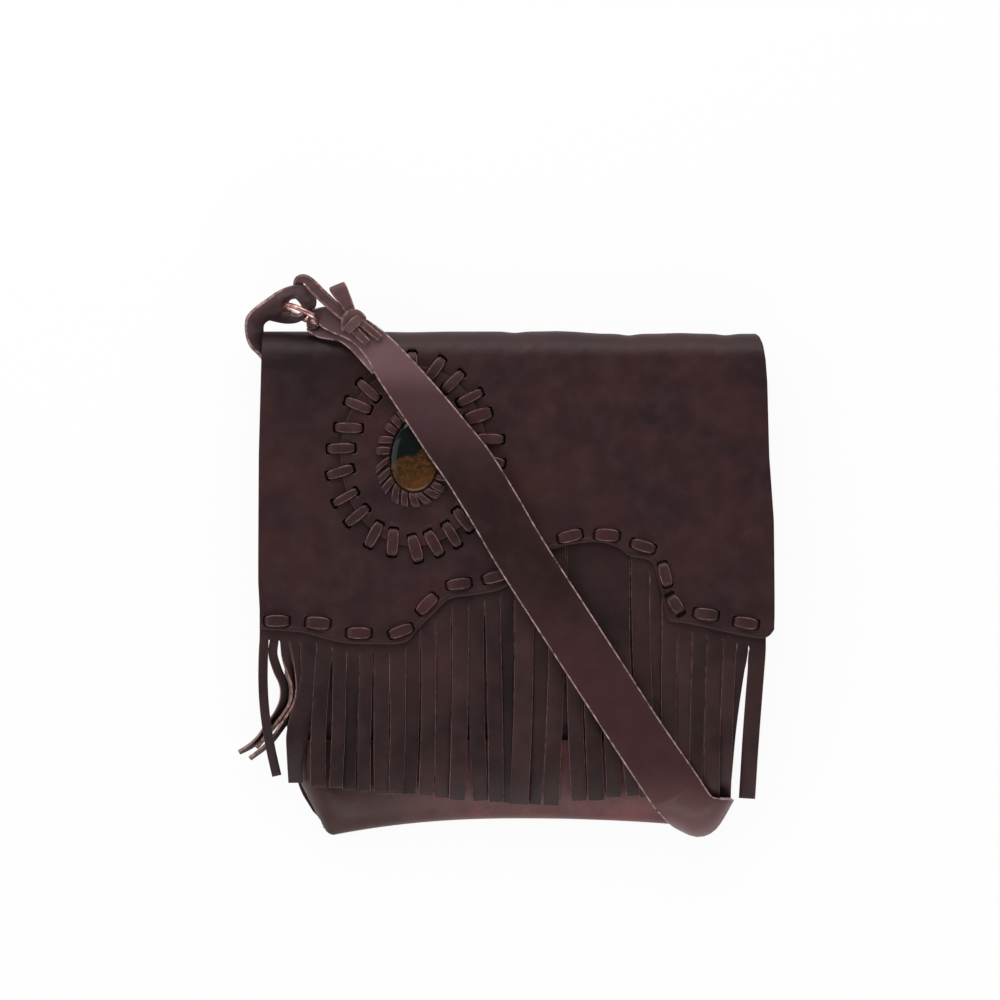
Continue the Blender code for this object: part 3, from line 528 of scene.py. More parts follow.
def pouch_z(x, y, inset=0.0, room=RIM_ROOM):
    """Height of the pouch's outer side, or of a layer that lies inset within it."""
    low = float(back_z(x)) + LEATHER + room
    nominal = y
    if y <= SEAM_Y:
        nominal = SEAM_Y + (y - SEAM_Y) * (BOTTOM_Y - SEAM_Y) / (float(bottom_y(x)) - SEAM_Y)
    width = read(LEFT_SIDE if x < 0 else RIGHT_SIDE, nominal) - inset
    d = clamped((width - abs(x)) / (SIDE_ROUND - inset))
    t = clamped((SEAM_Y - y) / (SEAM_Y - float(bottom_y(x))))
    return low + (FRONT_TOP - inset - low) * math.sqrt(max(1 - (1 - d) ** 2, 0)) * math.sqrt(1 - t * t)


def shares_across(radius, width):
    """Shares across the whole width, -1 to 1, close together round the rolled sides."""
    near = [1 - radius * (1 - math.cos(math.radians(a))) / width for a in range(0, 90, 8)]
    near += list(np.linspace(1 - 1.15 * radius / width, 0.02, 14))
    return [-v for v in near] + near[::-1]


rows = []
for y, lap in FRONT_ROWS:
    inset = lap * LAP_INSET
    row = []
    for s in shares_across(SIDE_ROUND - inset, float(read(LEFT_SIDE, y)) - inset):
        x = s * (float(read(LEFT_SIDE if s < 0 else RIGHT_SIDE, y)) - inset)
        row.append((x, y, pouch_z(x, y, inset, FRONT_ROOM)))
    rows.append(row[::-1])
dark_edge = raw_edge("oiled edge of the cowhide", "#4a3231")
panel = hide_of("front_leather", rows, (hide, dark_edge))
leathered(panel, LEATHER)
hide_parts("front_panel")
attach(panel, "bag")


# Bottom panel: the piece round the bottom, lapped over the front with its straight raw edge showing. It is
# pulled smooth over the filled-out bottom, and its colour is painted paler there as painted light where it
# curves under.
rows = []
for turn in np.linspace(90, 0, 26):
    t = math.cos(math.radians(turn))
    nominal = SEAM_Y + t * (BOTTOM_Y - SEAM_Y)
    row = []
    for s in shares_across(SIDE_ROUND, float(read(LEFT_SIDE, nominal))):
        side = float(read(LEFT_SIDE if s < 0 else RIGHT_SIDE, nominal))
        x = s * side
        y = SEAM_Y + t * (float(bottom_y(x)) - SEAM_Y)
        low = float(back_z(x)) + LEATHER + RIM_ROOM
        d = clamped((side - abs(x)) / SIDE_ROUND)
        rise = math.sqrt(max(1 - (1 - d) ** 2, 0)) * math.sin(math.radians(turn))
        dent = 0.7 * waver(x / 30, y / 16, 5.0) * math.sin(math.radians(2 * turn)) * d
        row.append((*rounded_corner(x, y), low + (FRONT_TOP - low) * rise + dent))
    rows.append(row[::-1])
bottom_hide = oiled_leather("cowhide painted paler at the bottom", "#3c2423", "#47292a", "#57302e", "#5f3f3e", 0.42)
# Painted light: the bottom piece's colours are paler than the flap's, and the colour is made darker towards
# its left end
tree = bottom_hide.node_tree
spot = add(tree, "ShaderNodeSeparateXYZ", {0: add(tree, "ShaderNodeTexCoord").outputs["Object"]})
dyed(bottom_hide, ranged(tree, spot.outputs["X"], -0.09, -0.02, 0.5, 1.45, "SMOOTHSTEP"))
lap_edge = raw_edge("raw edge of the bottom piece", "#7a5b56")
base_panel = hide_of("bottom_leather", rows, (bottom_hide, lap_edge))
leathered(base_panel, LEATHER)
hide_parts("bottom_panel")
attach(base_panel, "bag")


# Fringe: one piece of thinner leather laced under the flap's edge and slit by knife into strips. Each strip
# leans, twists and curls a little in its own way; the four at the left end are narrow and three of them curl
# away behind the first. Their cut sides and ends are paler.
FRINGE_THICK = 1.6
FRINGE_MID = 26.9
FRINGE_LEFT = -141.4
FRINGE_RIGHT = 135.1
NARROW_PITCH = 5.55
SLIT = 0.6
HEAD_RISE = 8.0
ARCH_ROOT = -35.0
ROOT_DROP = 5.5
NARROW_CLOSED_TO = -31.0
# Each slit left of a wide strip: its place along the edge, and how far down the cut stays closed
SLITS = (
    (-118.8, -39.3), (-110, -45.9), (-101.3, -45.3), (-93.6, -45.9), (-86.3, -45.9), (-78.9, -33.9),
    (-70.2, -63.9), (-61.4, -51.3), (-53.5, -28.9), (-45, -27.3), (-36.3, -13.1), (-27, -39.3),
    (-18.3, -17.5), (-9.6, -28.9), (-2.2, -5.5), (8.5, -30), (17.5, -47), (26.5, -55.7), (35.2, -31.1),
    (44.5, -31.1), (52.7, -31.1), (61.4, 12), (71.8, -8.2), (78.4, -22.9), (87.1, -24), (95.3, -26.2),
    (103.2, -29.5), (112.2, -29.5), (119.6, -36), (126.1, -46.4),
)
# Each wide strip: x and y of its end, sideways bow, set (how far it lies forward) and twist at its end
STRIPS = (
    (-122.7, -109.2, 2.0, 0.0, 14), (-109.6, -111.4, -1.6, 0.5, 12), (-99.8, -111.7, 0.4, 0.9, 6),
    (-92.7, -113.0, -0.3, -1.3, 0), (-84.3, -114.1, -0.6, 0.4, -5), (-74.9, -115.2, 0.0, 0.6, 9),
    (-67.0, -115.1, 0.6, 0.2, 12), (-59.6, -115.5, 0.5, -0.3, -10), (-50.7, -116.2, 0.8, 0.7, 9),
    (-41.9, -117.4, 0.3, -0.6, 3), (-33.7, -118.5, 0.6, 0.6, 12), (-20.6, -119.0, -0.9, -0.2, -5),
    (-12.3, -119.6, 0.6, 0.8, 7), (-6.4, -120.1, 0.3, -1.5, 0), (0.4, -120.9, 0.8, 0.7, -8),
    (8.7, -120.9, 0.6, -0.1, -13), (17.6, -121.5, 0.3, 0.5, 4), (33.1, -119.0, -0.4, 0.0, 3),
    (42.5, -118.8, 0.0, 0.6, 10), (52.1, -117.2, 0.5, -0.4, 4), (63.1, -116.3, 0.0, 0.4, 5),
    (70.9, -116.8, -0.2, 0.3, 5), (77.2, -117.0, -0.4, -0.8, 0), (82.0, -117.0, -0.2, 0.7, 12),
    (88.6, -117.0, 0.0, -0.5, -10), (96.6, -117.2, -0.4, 0.2, 8), (105.6, -117.6, -0.7, 0.0, 5),
    (112.8, -117.6, -0.8, 1.2, 3), (113.0, -114.0, -2.2, -1.3, 8), (125.3, -118.0, -1.0, 0.2, -16),
)
# The first narrow strip: how far its end lies from its root, its end's y, and the rest as above
FIRST_STRIP = (6.5, -105.6, -2.4, 0.0, 6)
# The three curled strips: their paths in plan, their heights by y, and their turns at five even spots
CURL_PATHS = (
    ((-134.2, -39), (-131.6, -48), (-128.9, -54), (-128.0, -59), (-128.8, -65.5), (-131.9, -72),
     (-136.8, -78.6), (-142.2, -85.7), (-147.6, -90), (-153.2, -93.1)),
    ((-126.9, -41), (-124.4, -50), (-122.9, -57), (-124.2, -65), (-128, -71.5), (-133, -78),
     (-138.5, -84.5), (-143.5, -90.5)),
    ((-120.9, -40), (-119.8, -49), (-119.4, -57.3), (-121, -65.5), (-124.8, -72.1),
     (-129.7, -79), (-134.6, -85.9), (-140, -91), (-147.2, -96.4)),
)
CURL_HEIGHTS = (
    ((-31, 26.9), (-43, 24.8), (-58, 21.5), (-73, 16), (-86, 10.5), (-93.1, 8.2)),
    ((-31, 26.9), (-43, 25.3), (-58, 23.5), (-74, 19), (-90.5, 11.5)),
    ((-31, 26.9), (-43, 26.0), (-58, 25.0), (-74, 21.8), (-88, 14.5), (-96.4, 10.5)),
)
CURL_TURNS = ((0, 20, 30, 45, 74), (0, 45, 76, 80, 80), (0, 25, 50, 66, 76))
LANES = (-1.0, -0.5, 0.0, 0.5, 1.0)


def strip_root(middle):
    """Where the slits beside a strip start: well under the flap's edge, but lower inside the arch."""
    if 30 < middle < 61:
        return ARCH_ROOT
    return min(float(read(FLAP_EDGE, middle)), float(read(STITCH_LINE, middle))) - ROOT_DROP


def side_of_strip(flat, turn):
    """The direction across a strip, from its direction in plan and how far it's turned."""
    return np.array([flat[0] * math.cos(turn), flat[1] * math.cos(turn), -math.sin(turn)])


STITCH_LINE = [(x, y) for x, y, angle in EDGE_STITCHES]
starts = [FRINGE_LEFT + k * NARROW_PITCH for k in range(5)]
edges = [(a, b - SLIT) for a, b in zip(starts, starts[1:])]
starts = [x for x, y in SLITS] + [FRINGE_RIGHT + SLIT]
edges += [(a, b - SLIT) for a, b in zip(starts, starts[1:])]
closed_to = [NARROW_CLOSED_TO] * 4 + [y for x, y in SLITS] + [NARROW_CLOSED_TO]
points = []
faces = []
dye_and_shade_levels = []
heads = []
for left, right in edges:
    middle = (left + right) / 2
    root = strip_root(middle)
    columns = []
    for lane in LANES:
        x = middle + lane * (right - left) / 2
        top = float(read(STITCH_LINE, x)) + HEAD_RISE
        column = []
        for t in np.linspace(0, 1, 7):
            y = top + t * (root - top)
            column.append(len(points))
            points.append((x, y, FRINGE_MID))
        columns.append(column)
    heads.append((root, columns))
for k, (root, columns) in enumerate(heads):
    pairs = list(zip(columns, columns[1:]))
    if k + 1 < len(heads) and abs(heads[k + 1][0] - root) < 12:
        pairs.append((columns[-1], heads[k + 1][1][0]))
    for a, b in pairs:
        faces += [(a[i], a[i + 1], b[i + 1], b[i]) for i in range(6)]
        # The heads showing inside the arch are darker than the rest
        dye_and_shade_levels += [0.2 if root == ARCH_ROOT else 0.5] * 6
for k, ((left, right), (root, columns)) in enumerate(zip(edges, heads)):
    middle, half = (left + right) / 2, (right - left) / 2
    stations = []
    if 1 <= k <= 3:
        path = even(spline([(middle, root), *CURL_PATHS[k - 1]], 6), 40)
        for i in range(1, 40):
            before, after = path[i - 1], path[min(i + 1, 39)]
            flat = np.array([-(after - before)[1], (after - before)[0]])
            flat /= np.linalg.norm(flat)
            z = float(read(CURL_HEIGHTS[k - 1], path[i][1]))
            turn = math.radians(float(np.interp(i / 39, (0, 0.25, 0.5, 0.75, 1), CURL_TURNS[k - 1])))
            stations.append((np.array([path[i][0], path[i][1], z]), side_of_strip(flat, turn), 0.15))
    else:
        tip_x, tip_y, bow, fore, twist = STRIPS[k - 4] if k else FIRST_STRIP
        if k == 0:
            tip_x += middle
        wave = waver(k * 3.7, 0.5, 0.2)
        for i in range(1, 33):
            t = i / 32
            y = root + t * (tip_y - root)
            shift = (tip_x - middle) * (0.55 * t + 0.45 * t * t) + bow * math.sin(math.pi * t)
            slope = (tip_x - middle) * (0.55 + 0.9 * t) + bow * math.pi * math.cos(math.pi * t)
            if k == 4:
                swing = clamped((t - 0.2) / 0.5)
                shift = -8.2 * swing * swing * (3 - 2 * swing) + 3 * max(t - 0.7, 0)
                slope = -98.4 * swing * (1 - swing)
            flat = np.array([root - tip_y, slope])
            flat /= np.linalg.norm(flat)
            body = max(pouch_z(v + shift, y) for v in (left, middle, right))
            room = 1.1 + 1.9 * clamped((SEAM_Y + 14 - y) / 14)
            z = min(max(body + room, FRINGE_MID - 14 * t * t), FRINGE_MID)
            z += (0.3 * fore if fore < 0 else 0.5 + 0.8 * fore) * min(2 * t, 1)
            z += 0.25 * wave * math.sin(5 * t) * t
            turn = math.radians(twist * t * t + 9 * wave * math.sin(2 * math.pi * t) * t)
            place = np.array([middle + shift, y, z])
            stations.append((place, side_of_strip(flat, turn), 0.35 + 0.3 * wave))
    last = [column[-1] for column in columns]
    for n, (place, side, cup) in enumerate(stations):
        now = []
        wider = 2.1 * math.sin(math.pi * n / 31) ** 2 if k == 4 else 0
        for lane in LANES:
            shut = clamped((place[1] - closed_to[k if lane < 0 else k + 1]) / 3)
            spot = place + side * (lane * (half + 0.27 * shut) + max(lane, 0) * 2 * wider)
            now.append(len(points))
            points.append((spot[0], spot[1], spot[2] - cup * (lane * lane - 0.4)))
        faces += [(last[i], now[i], now[i + 1], last[i + 1]) for i in range(len(LANES) - 1)]
        share = clamped((root - place[1]) / 25)
        strip_dye_and_shade = 0.55 + 0.9 * waver(k * 5.7, 8.0, 0.0)
        # A strip set back under its neighbours is painted darkest, as painted shade
        if k > 3 and STRIPS[k - 4][3] < -1:
            strip_dye_and_shade = 0.0
        dye_and_shade_levels += [0.5 + share * (strip_dye_and_shade - 0.5)] * (len(LANES) - 1)
        last = now
fringe_hide = oiled_leather("thin dark fringe leather", "#201416", "#2c1b1b", "#341f1f", "#3a2525", 0.52)
# The dye took more in some strips than in others, and this random tone also stands in for painted light on
# strips that lie at different angles; strips set back under their neighbours are painted darker as painted
# shade
tree = fringe_hide.node_tree
tone = add(tree, "ShaderNodeAttribute", attribute_name="tone")
dyed(fringe_hide, ranged(tree, tone.outputs["Fac"], 0, 1, 0.62, 1.38))
fringe_edge = raw_edge("raw edge of the fringe", "#a5837c")
fringe = finished("fringe_leather", points, faces, (fringe_hide, fringe_edge))
fringe.data.attributes.new("tone", "FLOAT", "FACE").data.foreach_set("value", dye_and_shade_levels)
leathered(fringe, FRINGE_THICK, 0.0, 0.42)
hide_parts("fringe")
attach(fringe, "bag")


# Edge lace: flat 6.4 mm leather lacing. It runs in and out through the punched slots along the flap's edge
# and holds the fringe there; each stitch swells a little between its two slots.
def band(name, stations, finishes, closed=False):
    """A flat lace or strip of leather through stations of (middle, side, width, thickness, crown)."""
    count = len(stations)
    points = []
    middles = [np.array(station[0], float) for station in stations]
    for i, (middle, side, width, thick, crown) in enumerate(stations):
        before = middles[(i - 1) % count] if closed or i else middles[i]
        after = middles[(i + 1) % count] if closed or i < count - 1 else middles[i]
        side = np.array(side, float)
        side /= np.linalg.norm(side)
        up = np.cross(side, after - before)
        up /= np.linalg.norm(up)
        half, t = width / 2, thick / 2
        b = min(0.4, 0.3 * half)
        outline = (
            (-half + b, t), (-half * 0.45, t + crown), (half * 0.45, t + crown), (half - b, t),
            (half, t - 0.7 * b), (half, -t + 0.7 * b), (half - b, -t), (-half + b, -t),
            (-half, -t + 0.7 * b), (-half, t - 0.7 * b),
        )
        points += [middles[i] + side * u - up * w for u, w in outline]
    around = len(outline)
    faces = []
    pale = []
    for i in range(count if closed else count - 1):
        for j in range(around):
            m = (j + 1) % around
            k = (i + 1) % count
            if j in (3, 4, 5, 7, 8, 9):
                pale.append(len(faces))
            faces.append((i * around + j, i * around + m, k * around + m, k * around + j))
    if not closed:
        pale += [len(faces), len(faces) + 1]
        faces.append(tuple(range(around - 1, -1, -1)))
        faces.append(tuple((count - 1) * around + j for j in range(around)))
    made = finished(name, points, faces, finishes, pale)
    smooth = made.modifiers.new("Softened", "SUBSURF")
    smooth.levels = 1
    smooth.render_levels = 1
    apply_all(made)
    return made


def over_stitch(x, y, angle, length, start_z, end_z, under, width, crown):
    """The stations of one stitch: up through its first slot, over and down through its second."""
    a = math.radians(angle)
    way = np.array([math.cos(a), math.sin(a)])
    side = (-way[1], way[0], 0)
    made = []
    rise = ((-0.5, None, 0.6), (-0.49, 1.6, 0.62), (-0.45, 0.6, 0.74), (-0.35, 0.12, 0.92), (-0.15, 0, 1))
    for share, drop, wide in rise + tuple((-share, drop, wide) for share, drop, wide in rise[::-1]):
        level = start_z + (end_z - start_z) * (share + 0.5)
        swell = crown * math.cos(math.pi * share) ** 0.7 if abs(share) < 0.5 else 0
        z = under if drop is None else level - drop + swell
        spot = np.array([x, y]) + way * (share * length)
        made.append(((spot[0], spot[1], z), side, width * wide, LACE_THICK, 0.12))
    return made


UNDER_LACE = 25.0
# One stitch, at the right side of the arch, is shorter than the others
SHORT_STITCH = 12
SHORT_STITCH_LENGTH = 9.6
stations = []
for n, (x, y, angle) in enumerate(EDGE_STITCHES):
    top = DEPTH + 0.35 + LACE_THICK / 2 + flap_lie(x, y)
    wide = LACE_WIDTH * (0.97 + 0.16 * waver(n * 2.3, 1.0, 0.5))
    length = SHORT_STITCH_LENGTH if n == SHORT_STITCH else EDGE_STITCH
    stations += over_stitch(x, y, angle, length, top, top, UNDER_LACE, wide, 0.35)
lace_hide = oiled_leather("oiled lacing leather", "#291819", "#352021", "#3f2324", "#4a3032", 0.46,
                          grain=0.7)
lace_edge = raw_edge("raw edge of the lacing", "#7f5f5b")
edge_lace = band("edge_lacing", stations, (lace_hide, lace_edge))
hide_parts("edge_lace")
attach(edge_lace, "bag")


# Medallion patch: an oval of 1.6 mm leather with an egg-shaped hole cut in it for the stone.
MEDALLION = (-57.0, 69.3)
PATCH_RADII = (40.1, 49.1)
PATCH_THICK = 1.6
PATCH_TOP = 31.9
PATCH_CUT = (29.0, 34.0)
PATCH_COLUMNS = 144
STONE_RADII = (12.9, 19.6)
EGG = 0.12


def egg_spot(angle, grow):
    """A point of the stone's egg outline, grown outwards, wider at its lower end."""
    x = (STONE_RADII[0] + grow) * math.cos(angle)
    y = (STONE_RADII[1] + grow) * math.sin(angle)
    return MEDALLION[0] + x * (1 - EGG * math.sin(angle)), MEDALLION[1] + y


rows = []
for share in (1, 0.985, 0.95, 0.88, 0.75, 0.6, 0.45, 0.3, 0.15, 0.05, 0):
    row = []
    for k in range(PATCH_COLUMNS):
        angle = 2 * math.pi * k / PATCH_COLUMNS
        rough = 0.35 * waver(math.cos(angle) * 4, math.sin(angle) * 4, 2.0)
        outer = (MEDALLION[0] + (PATCH_RADII[0] + rough) * math.cos(angle),
                 MEDALLION[1] + (PATCH_RADII[1] + rough) * math.sin(angle))
        hole = egg_spot(angle, 0.3)
        x = share * outer[0] + (1 - share) * hole[0]
        y = share * outer[1] + (1 - share) * hole[1]
        row.append((x, y, PATCH_TOP + flap_lie(x, y)))
    rows.append(row[::-1])
patch = hide_of("patch_leather", rows, (hide, dark_edge), closed=True)
if patch.data.polygons[0].normal.z < 0:
    patch.data.flip_normals()
leathered(patch, PATCH_THICK, -1.0, 0.3)
inner_slots = [slot for slot in round_slots
               if math.hypot((slot[0][0] - MEDALLION[0]) / PATCH_RADII[0],
                             (slot[0][1] - MEDALLION[1]) / PATCH_RADII[1]) < 1]
punched(patch, slot_cutter("patch_slots", inner_slots, *PATCH_CUT))
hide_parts("medallion_patch")
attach(patch, "bag")


# Medallion lace: the same lacing whipped over the patch's edge, each turn a little askew, from a slot in the
# patch to one in the flap and on beneath the flap to the next.
stations = []
for n, (x, y, angle) in enumerate(ROUND_STITCHES):
    a = math.radians(angle)
    way = np.array([math.cos(a), math.sin(a)])
    out = np.array([x - MEDALLION[0], y - MEDALLION[1]])
    turn = angle if way @ out > 0 else angle + 180
    lie = flap_lie(x, y)
    inner_top = PATCH_TOP + 0.3 + LACE_THICK / 2 + lie
    outer_top = DEPTH + 0.8 + LACE_THICK / 2 + lie
    wide = LACE_WIDTH * (0.87 + 0.3 * waver(n * 1.9, 4.0, 0.5))
    stations += over_stitch(x, y, turn, ROUND_STITCH, inner_top, outer_top, 25.6, wide, 0.3)
round_lace = band("medallion_lacing", stations, (lace_hide, lace_edge), closed=True)
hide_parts("medallion_lace")
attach(round_lace, "bag")


# Bezel lace: narrower lacing whipped tightly over the edge of the hole, turn beside turn, so that its ridges
# hold the stone's edge. Each turn ends in the patch; the runs from turn to turn beneath it are left out.
BEZEL_TURNS = 23
BEZEL_THICK = 1.3


def joined(parts, name):
    """Several mesh objects made one."""
    bpy.ops.object.select_all(action="DESELECT")
    for part in parts:
        part.select_set(True)
    bpy.context.view_layer.objects.active = parts[0]
    bpy.ops.object.join()
    parts[0].name = name
    return parts[0]


parts = []
for n in range(BEZEL_TURNS):
    angle = 2 * math.pi * (n + 0.3 * waver(n * 5.1, 2.0, 1.0)) / BEZEL_TURNS
    askew = 0.12 + 0.3 * waver(n * 3.3, 6.0, 1.0)
    reach = 8.2 + 1.2 * waver(n * 2.7, 9.0, 1.0)
    stations = []
    slim = 1 + 0.25 * waver(n * 4.3, 3.0, 1.0)
    for out, z, wide in (
        (0.7, -1.0, 2.9), (0.8, 0.4, 3.2), (1.5, 1.3, 3.5), (3.0, 1.75, 3.9), (5.0, 1.7, 4.2),
        (reach - 1.2, 1.2, 4.1), (reach - 0.3, 0.3, 3.6), (reach, -0.9, 3.0),
    ):
        turned = angle + askew * (out / reach - 0.3)
        x, y = egg_spot(turned, out)
        nx, ny = egg_spot(turned + 0.02, out)
        side = (nx - x, ny - y, 0)
        stations.append(((x, y, PATCH_TOP + z + flap_lie(x, y)), side, wide * slim, BEZEL_THICK, 0.15))
    parts.append(band("bezel_turn", stations, (lace_hide, lace_edge)))
bezel = joined(parts, "bezel_lacing")
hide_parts("bezel_lace")
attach(bezel, "bag")


# Stone: a polished egg-shaped cabochon of agate or jasper, near-black green at its upper end, golden brown
# with rusty specks below. Its girdle is upright, and its top is a low dome.
STONE_LOW = 30.3
GIRDLE = 1.9
DOME = 3.6
bpy.ops.object.select_all(action="DESELECT")
bpy.ops.mesh.primitive_uv_sphere_add(segments=96, ring_count=64, radius=1)
stone = bpy.context.active_object
stone.name = "polished_stone"
for vertex in stone.data.vertices:
    x, y, z = vertex.co
    angle = math.atan2(y, x)
    flat = math.hypot(x, y)
    rim = egg_spot(angle, 0.0)
    height = GIRDLE + DOME * z ** 0.85 if z > 0 else GIRDLE + max(z * 12, -GIRDLE)
    if z <= 0:
        flat = min(1.0, 4 * flat)
    vertex.co = ((MEDALLION[0] + (rim[0] - MEDALLION[0]) * flat) / 1000,
                 (MEDALLION[1] + (rim[1] - MEDALLION[1]) * flat) / 1000,
                 (STONE_LOW + height) / 1000)
stone.data.shade_smooth()
polish, tree, shader = new_finish("polished two-tone agate")
place = add(tree, "ShaderNodeTexCoord").outputs["Object"]
warp = clouded(tree, place, 170.0, 4.0)
split = add(tree, "ShaderNodeSeparateXYZ", {0: place})
slope = add(tree, "ShaderNodeMath", {0: split.outputs["X"], 1: -0.35}, operation="MULTIPLY")
tilt = add(tree, "ShaderNodeMath", {0: split.outputs["Y"], 1: slope.outputs[0]}, operation="ADD")
ragged = add(tree, "ShaderNodeMath", {0: warp, 1: 0.007, 2: tilt.outputs[0]},
             operation="MULTIPLY_ADD").outputs[0]
specks = clouded(tree, place, 420.0, 6.0, 0.75)
golden = mixed(tree, ranged(tree, ragged, 0.0860, 0.0755), "#2f2210", "#4c2f14")
speckled = mixed(tree, ranged(tree, specks, 0.46, 0.66), golden, "#5e391a")
dark = mixed(tree, warp, "#050807", "#0d1513")
whole = mixed(tree, ranged(tree, ragged, 0.0918, 0.0948, curve="SMOOTHSTEP"), speckled, dark)
tree.links.new(whole, shader.inputs["Base Color"])
shader.inputs["Roughness"].default_value = 0.09
shader.inputs["IOR"].default_value = 1.54
shader.inputs["Specular IOR Level"].default_value = 0.2
stone.data.materials.append(polish)
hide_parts("stone")
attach(stone, "bag")


# Strap: one 28 mm strip of oiled leather, 2.2 mm thick. It is sewn flat under the back, comes round the
# bottom corner, crosses the front, narrows, and is doubled back through the ring. Its cut sides show pale.
STRAP_WIDTH = 28.4
STRAP_THICK = 2.2
PALE_MARGIN = 0.6
# The two layers of the narrowed end: left edge then right edge, from the ring to the knot
NECK_UPPER = (
    (-108.4, 142.8, 31, -112.7, 148.2, 25.5), (-106.7, 140, 32, -109.5, 149.6, 29),
    (-103.2, 137.9, 33.5, -105.1, 150.3, 32), (-98.6, 135.7, 35, -98, 149.2, 34.5),
    (-92, 132.7, 35.8, -90.9, 147.1, 35.6), (-86.5, 127.8, 36, -83.3, 143.6, 35.8),
    (-81.4, 121.2, 36.2, -72.9, 136.2, 36.2),
)
NECK_LOWER = (
    (-115.5, 138.4, 27.5, -109.5, 139.1, 22.5), (-112.5, 135.7, 27.5, -106.7, 141.4, 23),
    (-108.1, 133.8, 28.5, -101.3, 144.7, 26), (-102, 132.8, 30.5, -95.8, 143.6, 29),
    (-96.9, 131.6, 32, -89.3, 142, 31.5), (-92, 128, 33, -83.8, 137.6, 32.8),
    (-87.1, 122.9, 33.4, -78.9, 131.6, 33.4),
)
# Down the front: the strap's middle and its width
STRAP_RUN = (
    (-68.7, 118.2, 37.8, 20.2), (-51.3, 95.7, 37.2, 24.6), (-39, 79, 37.2, 27), (-27.6, 63.9, 36.6, 28.4),
    (-14, 42, 35.7, 28.4), (-1.2, 19.9, 34.7, 28.4), (12, -1, 33.9, 28.4), (30, -28.8, 31.8, 28.4),
    (47.7, -56.2, 30.9, 28.4), (65, -83, 30.2, 28.4),
)
# Round the corner: four spots across the strap in each row, from the front to the back
STRAP_WRAP = (
    (71.8, -119, 27.4, 80.3, -114.1, 28, 88.7, -109.2, 28.2, 96.9, -104.3, 28.2),
    (75.6, -123.7, 25, 84.4, -119, 26.8, 93.1, -113.8, 27.5, 101.3, -111.1, 27.5),
    (79.4, -127.8, 20.5, 88.7, -124.5, 24.6, 98, -120.1, 26.2, 105.7, -116.8, 26.6),
    (82.7, -131, 13, 92, -130.2, 20.6, 101.8, -125.6, 24.2, 110.6, -117.7, 25.2),
    (85.2, -133, 6, 94.7, -135.1, 14.6, 105.4, -130.2, 19, 114.9, -117.9, 21.5),
    (87.1, -134.3, 2.6, 96.9, -137.9, 7, 107.6, -133.8, 10, 117.1, -118.4, 14),
    (88.2, -134.6, 1.1, 98, -138.1, 1.8, 106.5, -134.3, 3.2, 116, -119.6, 6),
    (86, -131.6, 1.1, 94.7, -130.5, 1.1, 102.4, -125, 1.1, 110.6, -118.5, 1.6),
)
STRAP_UNDER = ((84, -108), (72, -82), (66, -48), (66, -10), (74, 30), (89, 66), (103, 93))
# The end beyond the knot: how far on each row lies, and how much higher
STRAP_END = ((4, 1.6), (12, 3.2))
ROW_STEPS = 6
RING_CENTRE = np.array([-118.5, 147.0, 26.0])
RING_RADIUS = 10.2
WIRE = 1.4
# The strap's way round the ring, in degrees
RING_TURNS = (0, 45, 90, 135, 180)
turn, lean = math.radians(-26.6), math.radians(11)
ring_u = np.array([math.cos(turn), math.sin(turn), 0])
ring_v = np.array([0, 0, math.cos(lean)]) + np.array([-ring_u[1], ring_u[0], 0]) * math.sin(lean)
ring_n = np.cross(ring_u, ring_v)
STRAP_LANES = np.array([-1, -0.82, -0.64, -0.46, -0.28, -0.1, 0.1, 0.28, 0.46, 0.64, 0.82, 1])


def lanes(middle, across, width):
    """One row of points across the strap."""
    return [np.array(middle, float) + np.array(across, float) * (v * width / 2) for v in STRAP_LANES]


def heading_at(curve, i):
    """The direction of a curve in plan at one of its points."""
    d = np.array(curve[min(i + 1, len(curve) - 1)][:2]) - np.array(curve[max(i - 1, 0)][:2])
    return d / np.linalg.norm(d)


rows = []
under = [np.array(p, float) for p in STRAP_UNDER[::-1]]
for i, (x, y) in enumerate(under):
    d = heading_at(under, i)
    rows.append(lanes((x, y, STRAP_THICK / 2), (-d[1], d[0], 0), STRAP_WIDTH))
for row in STRAP_WRAP[::-1]:
    rows.append(list(even(spline(np.array(row).reshape(4, 3), 8), len(STRAP_LANES))))
for i in range(len(STRAP_RUN) - 1, -1, -1):
    x, y, z, width = STRAP_RUN[i]
    d = -heading_at(STRAP_RUN, i)
    rows.append(lanes((x, y, z), (d[1], -d[0], 0), width))
upper, lower = (
    [[np.array(left) * (1 - v) / 2 + np.array(right) * (1 + v) / 2 for v in STRAP_LANES]
     for left, right in np.array(neck).reshape(len(neck), 2, 3)] for neck in (NECK_UPPER, NECK_LOWER)
)
rows += upper[::-1]
radius = WIRE + 0.6 + STRAP_THICK / 2
for turn in RING_TURNS:
    a = math.radians(turn)
    middle = RING_CENTRE + ring_u * RING_RADIUS - ring_n * (radius * math.cos(a)) \
        - ring_u * ((radius + 2.0) * math.sin(a))
    if turn > 90:
        middle = middle + ring_n * (1.6 * math.sin(2 * (a - math.pi / 2))) - ring_v * (turn - 90) / 60
    rows.append(lanes(middle, -ring_v, 9.0 if turn < 90 else 7.5))
rows += lower
end = rows[-1]
heading = end[5] - rows[-2][5]
heading /= np.linalg.norm(heading)
for distance, rise in STRAP_END:
    step = np.array([heading[0] * distance, heading[1] * distance, rise])
    rows.append([point + step for point in end])
grid = np.array(rows)
smooth = np.stack([spline(grid[:, j], ROW_STEPS) for j in range(grid.shape[1])], axis=1)
for i in range(smooth.shape[0]):
    for j, v in enumerate(STRAP_LANES):
        x, y, z = smooth[i, j]
        if z > 14:
            smooth[i, j, 2] += 0.35 * waver(x / 24, y / 24, 11.0) - 0.35 * (v * v - 0.33)
strap_hide = oiled_leather("oiled strap leather", "#231415", "#291717", "#2f1a1a", "#382424", 0.44,
                           streaks=0.2, grain=0.7)
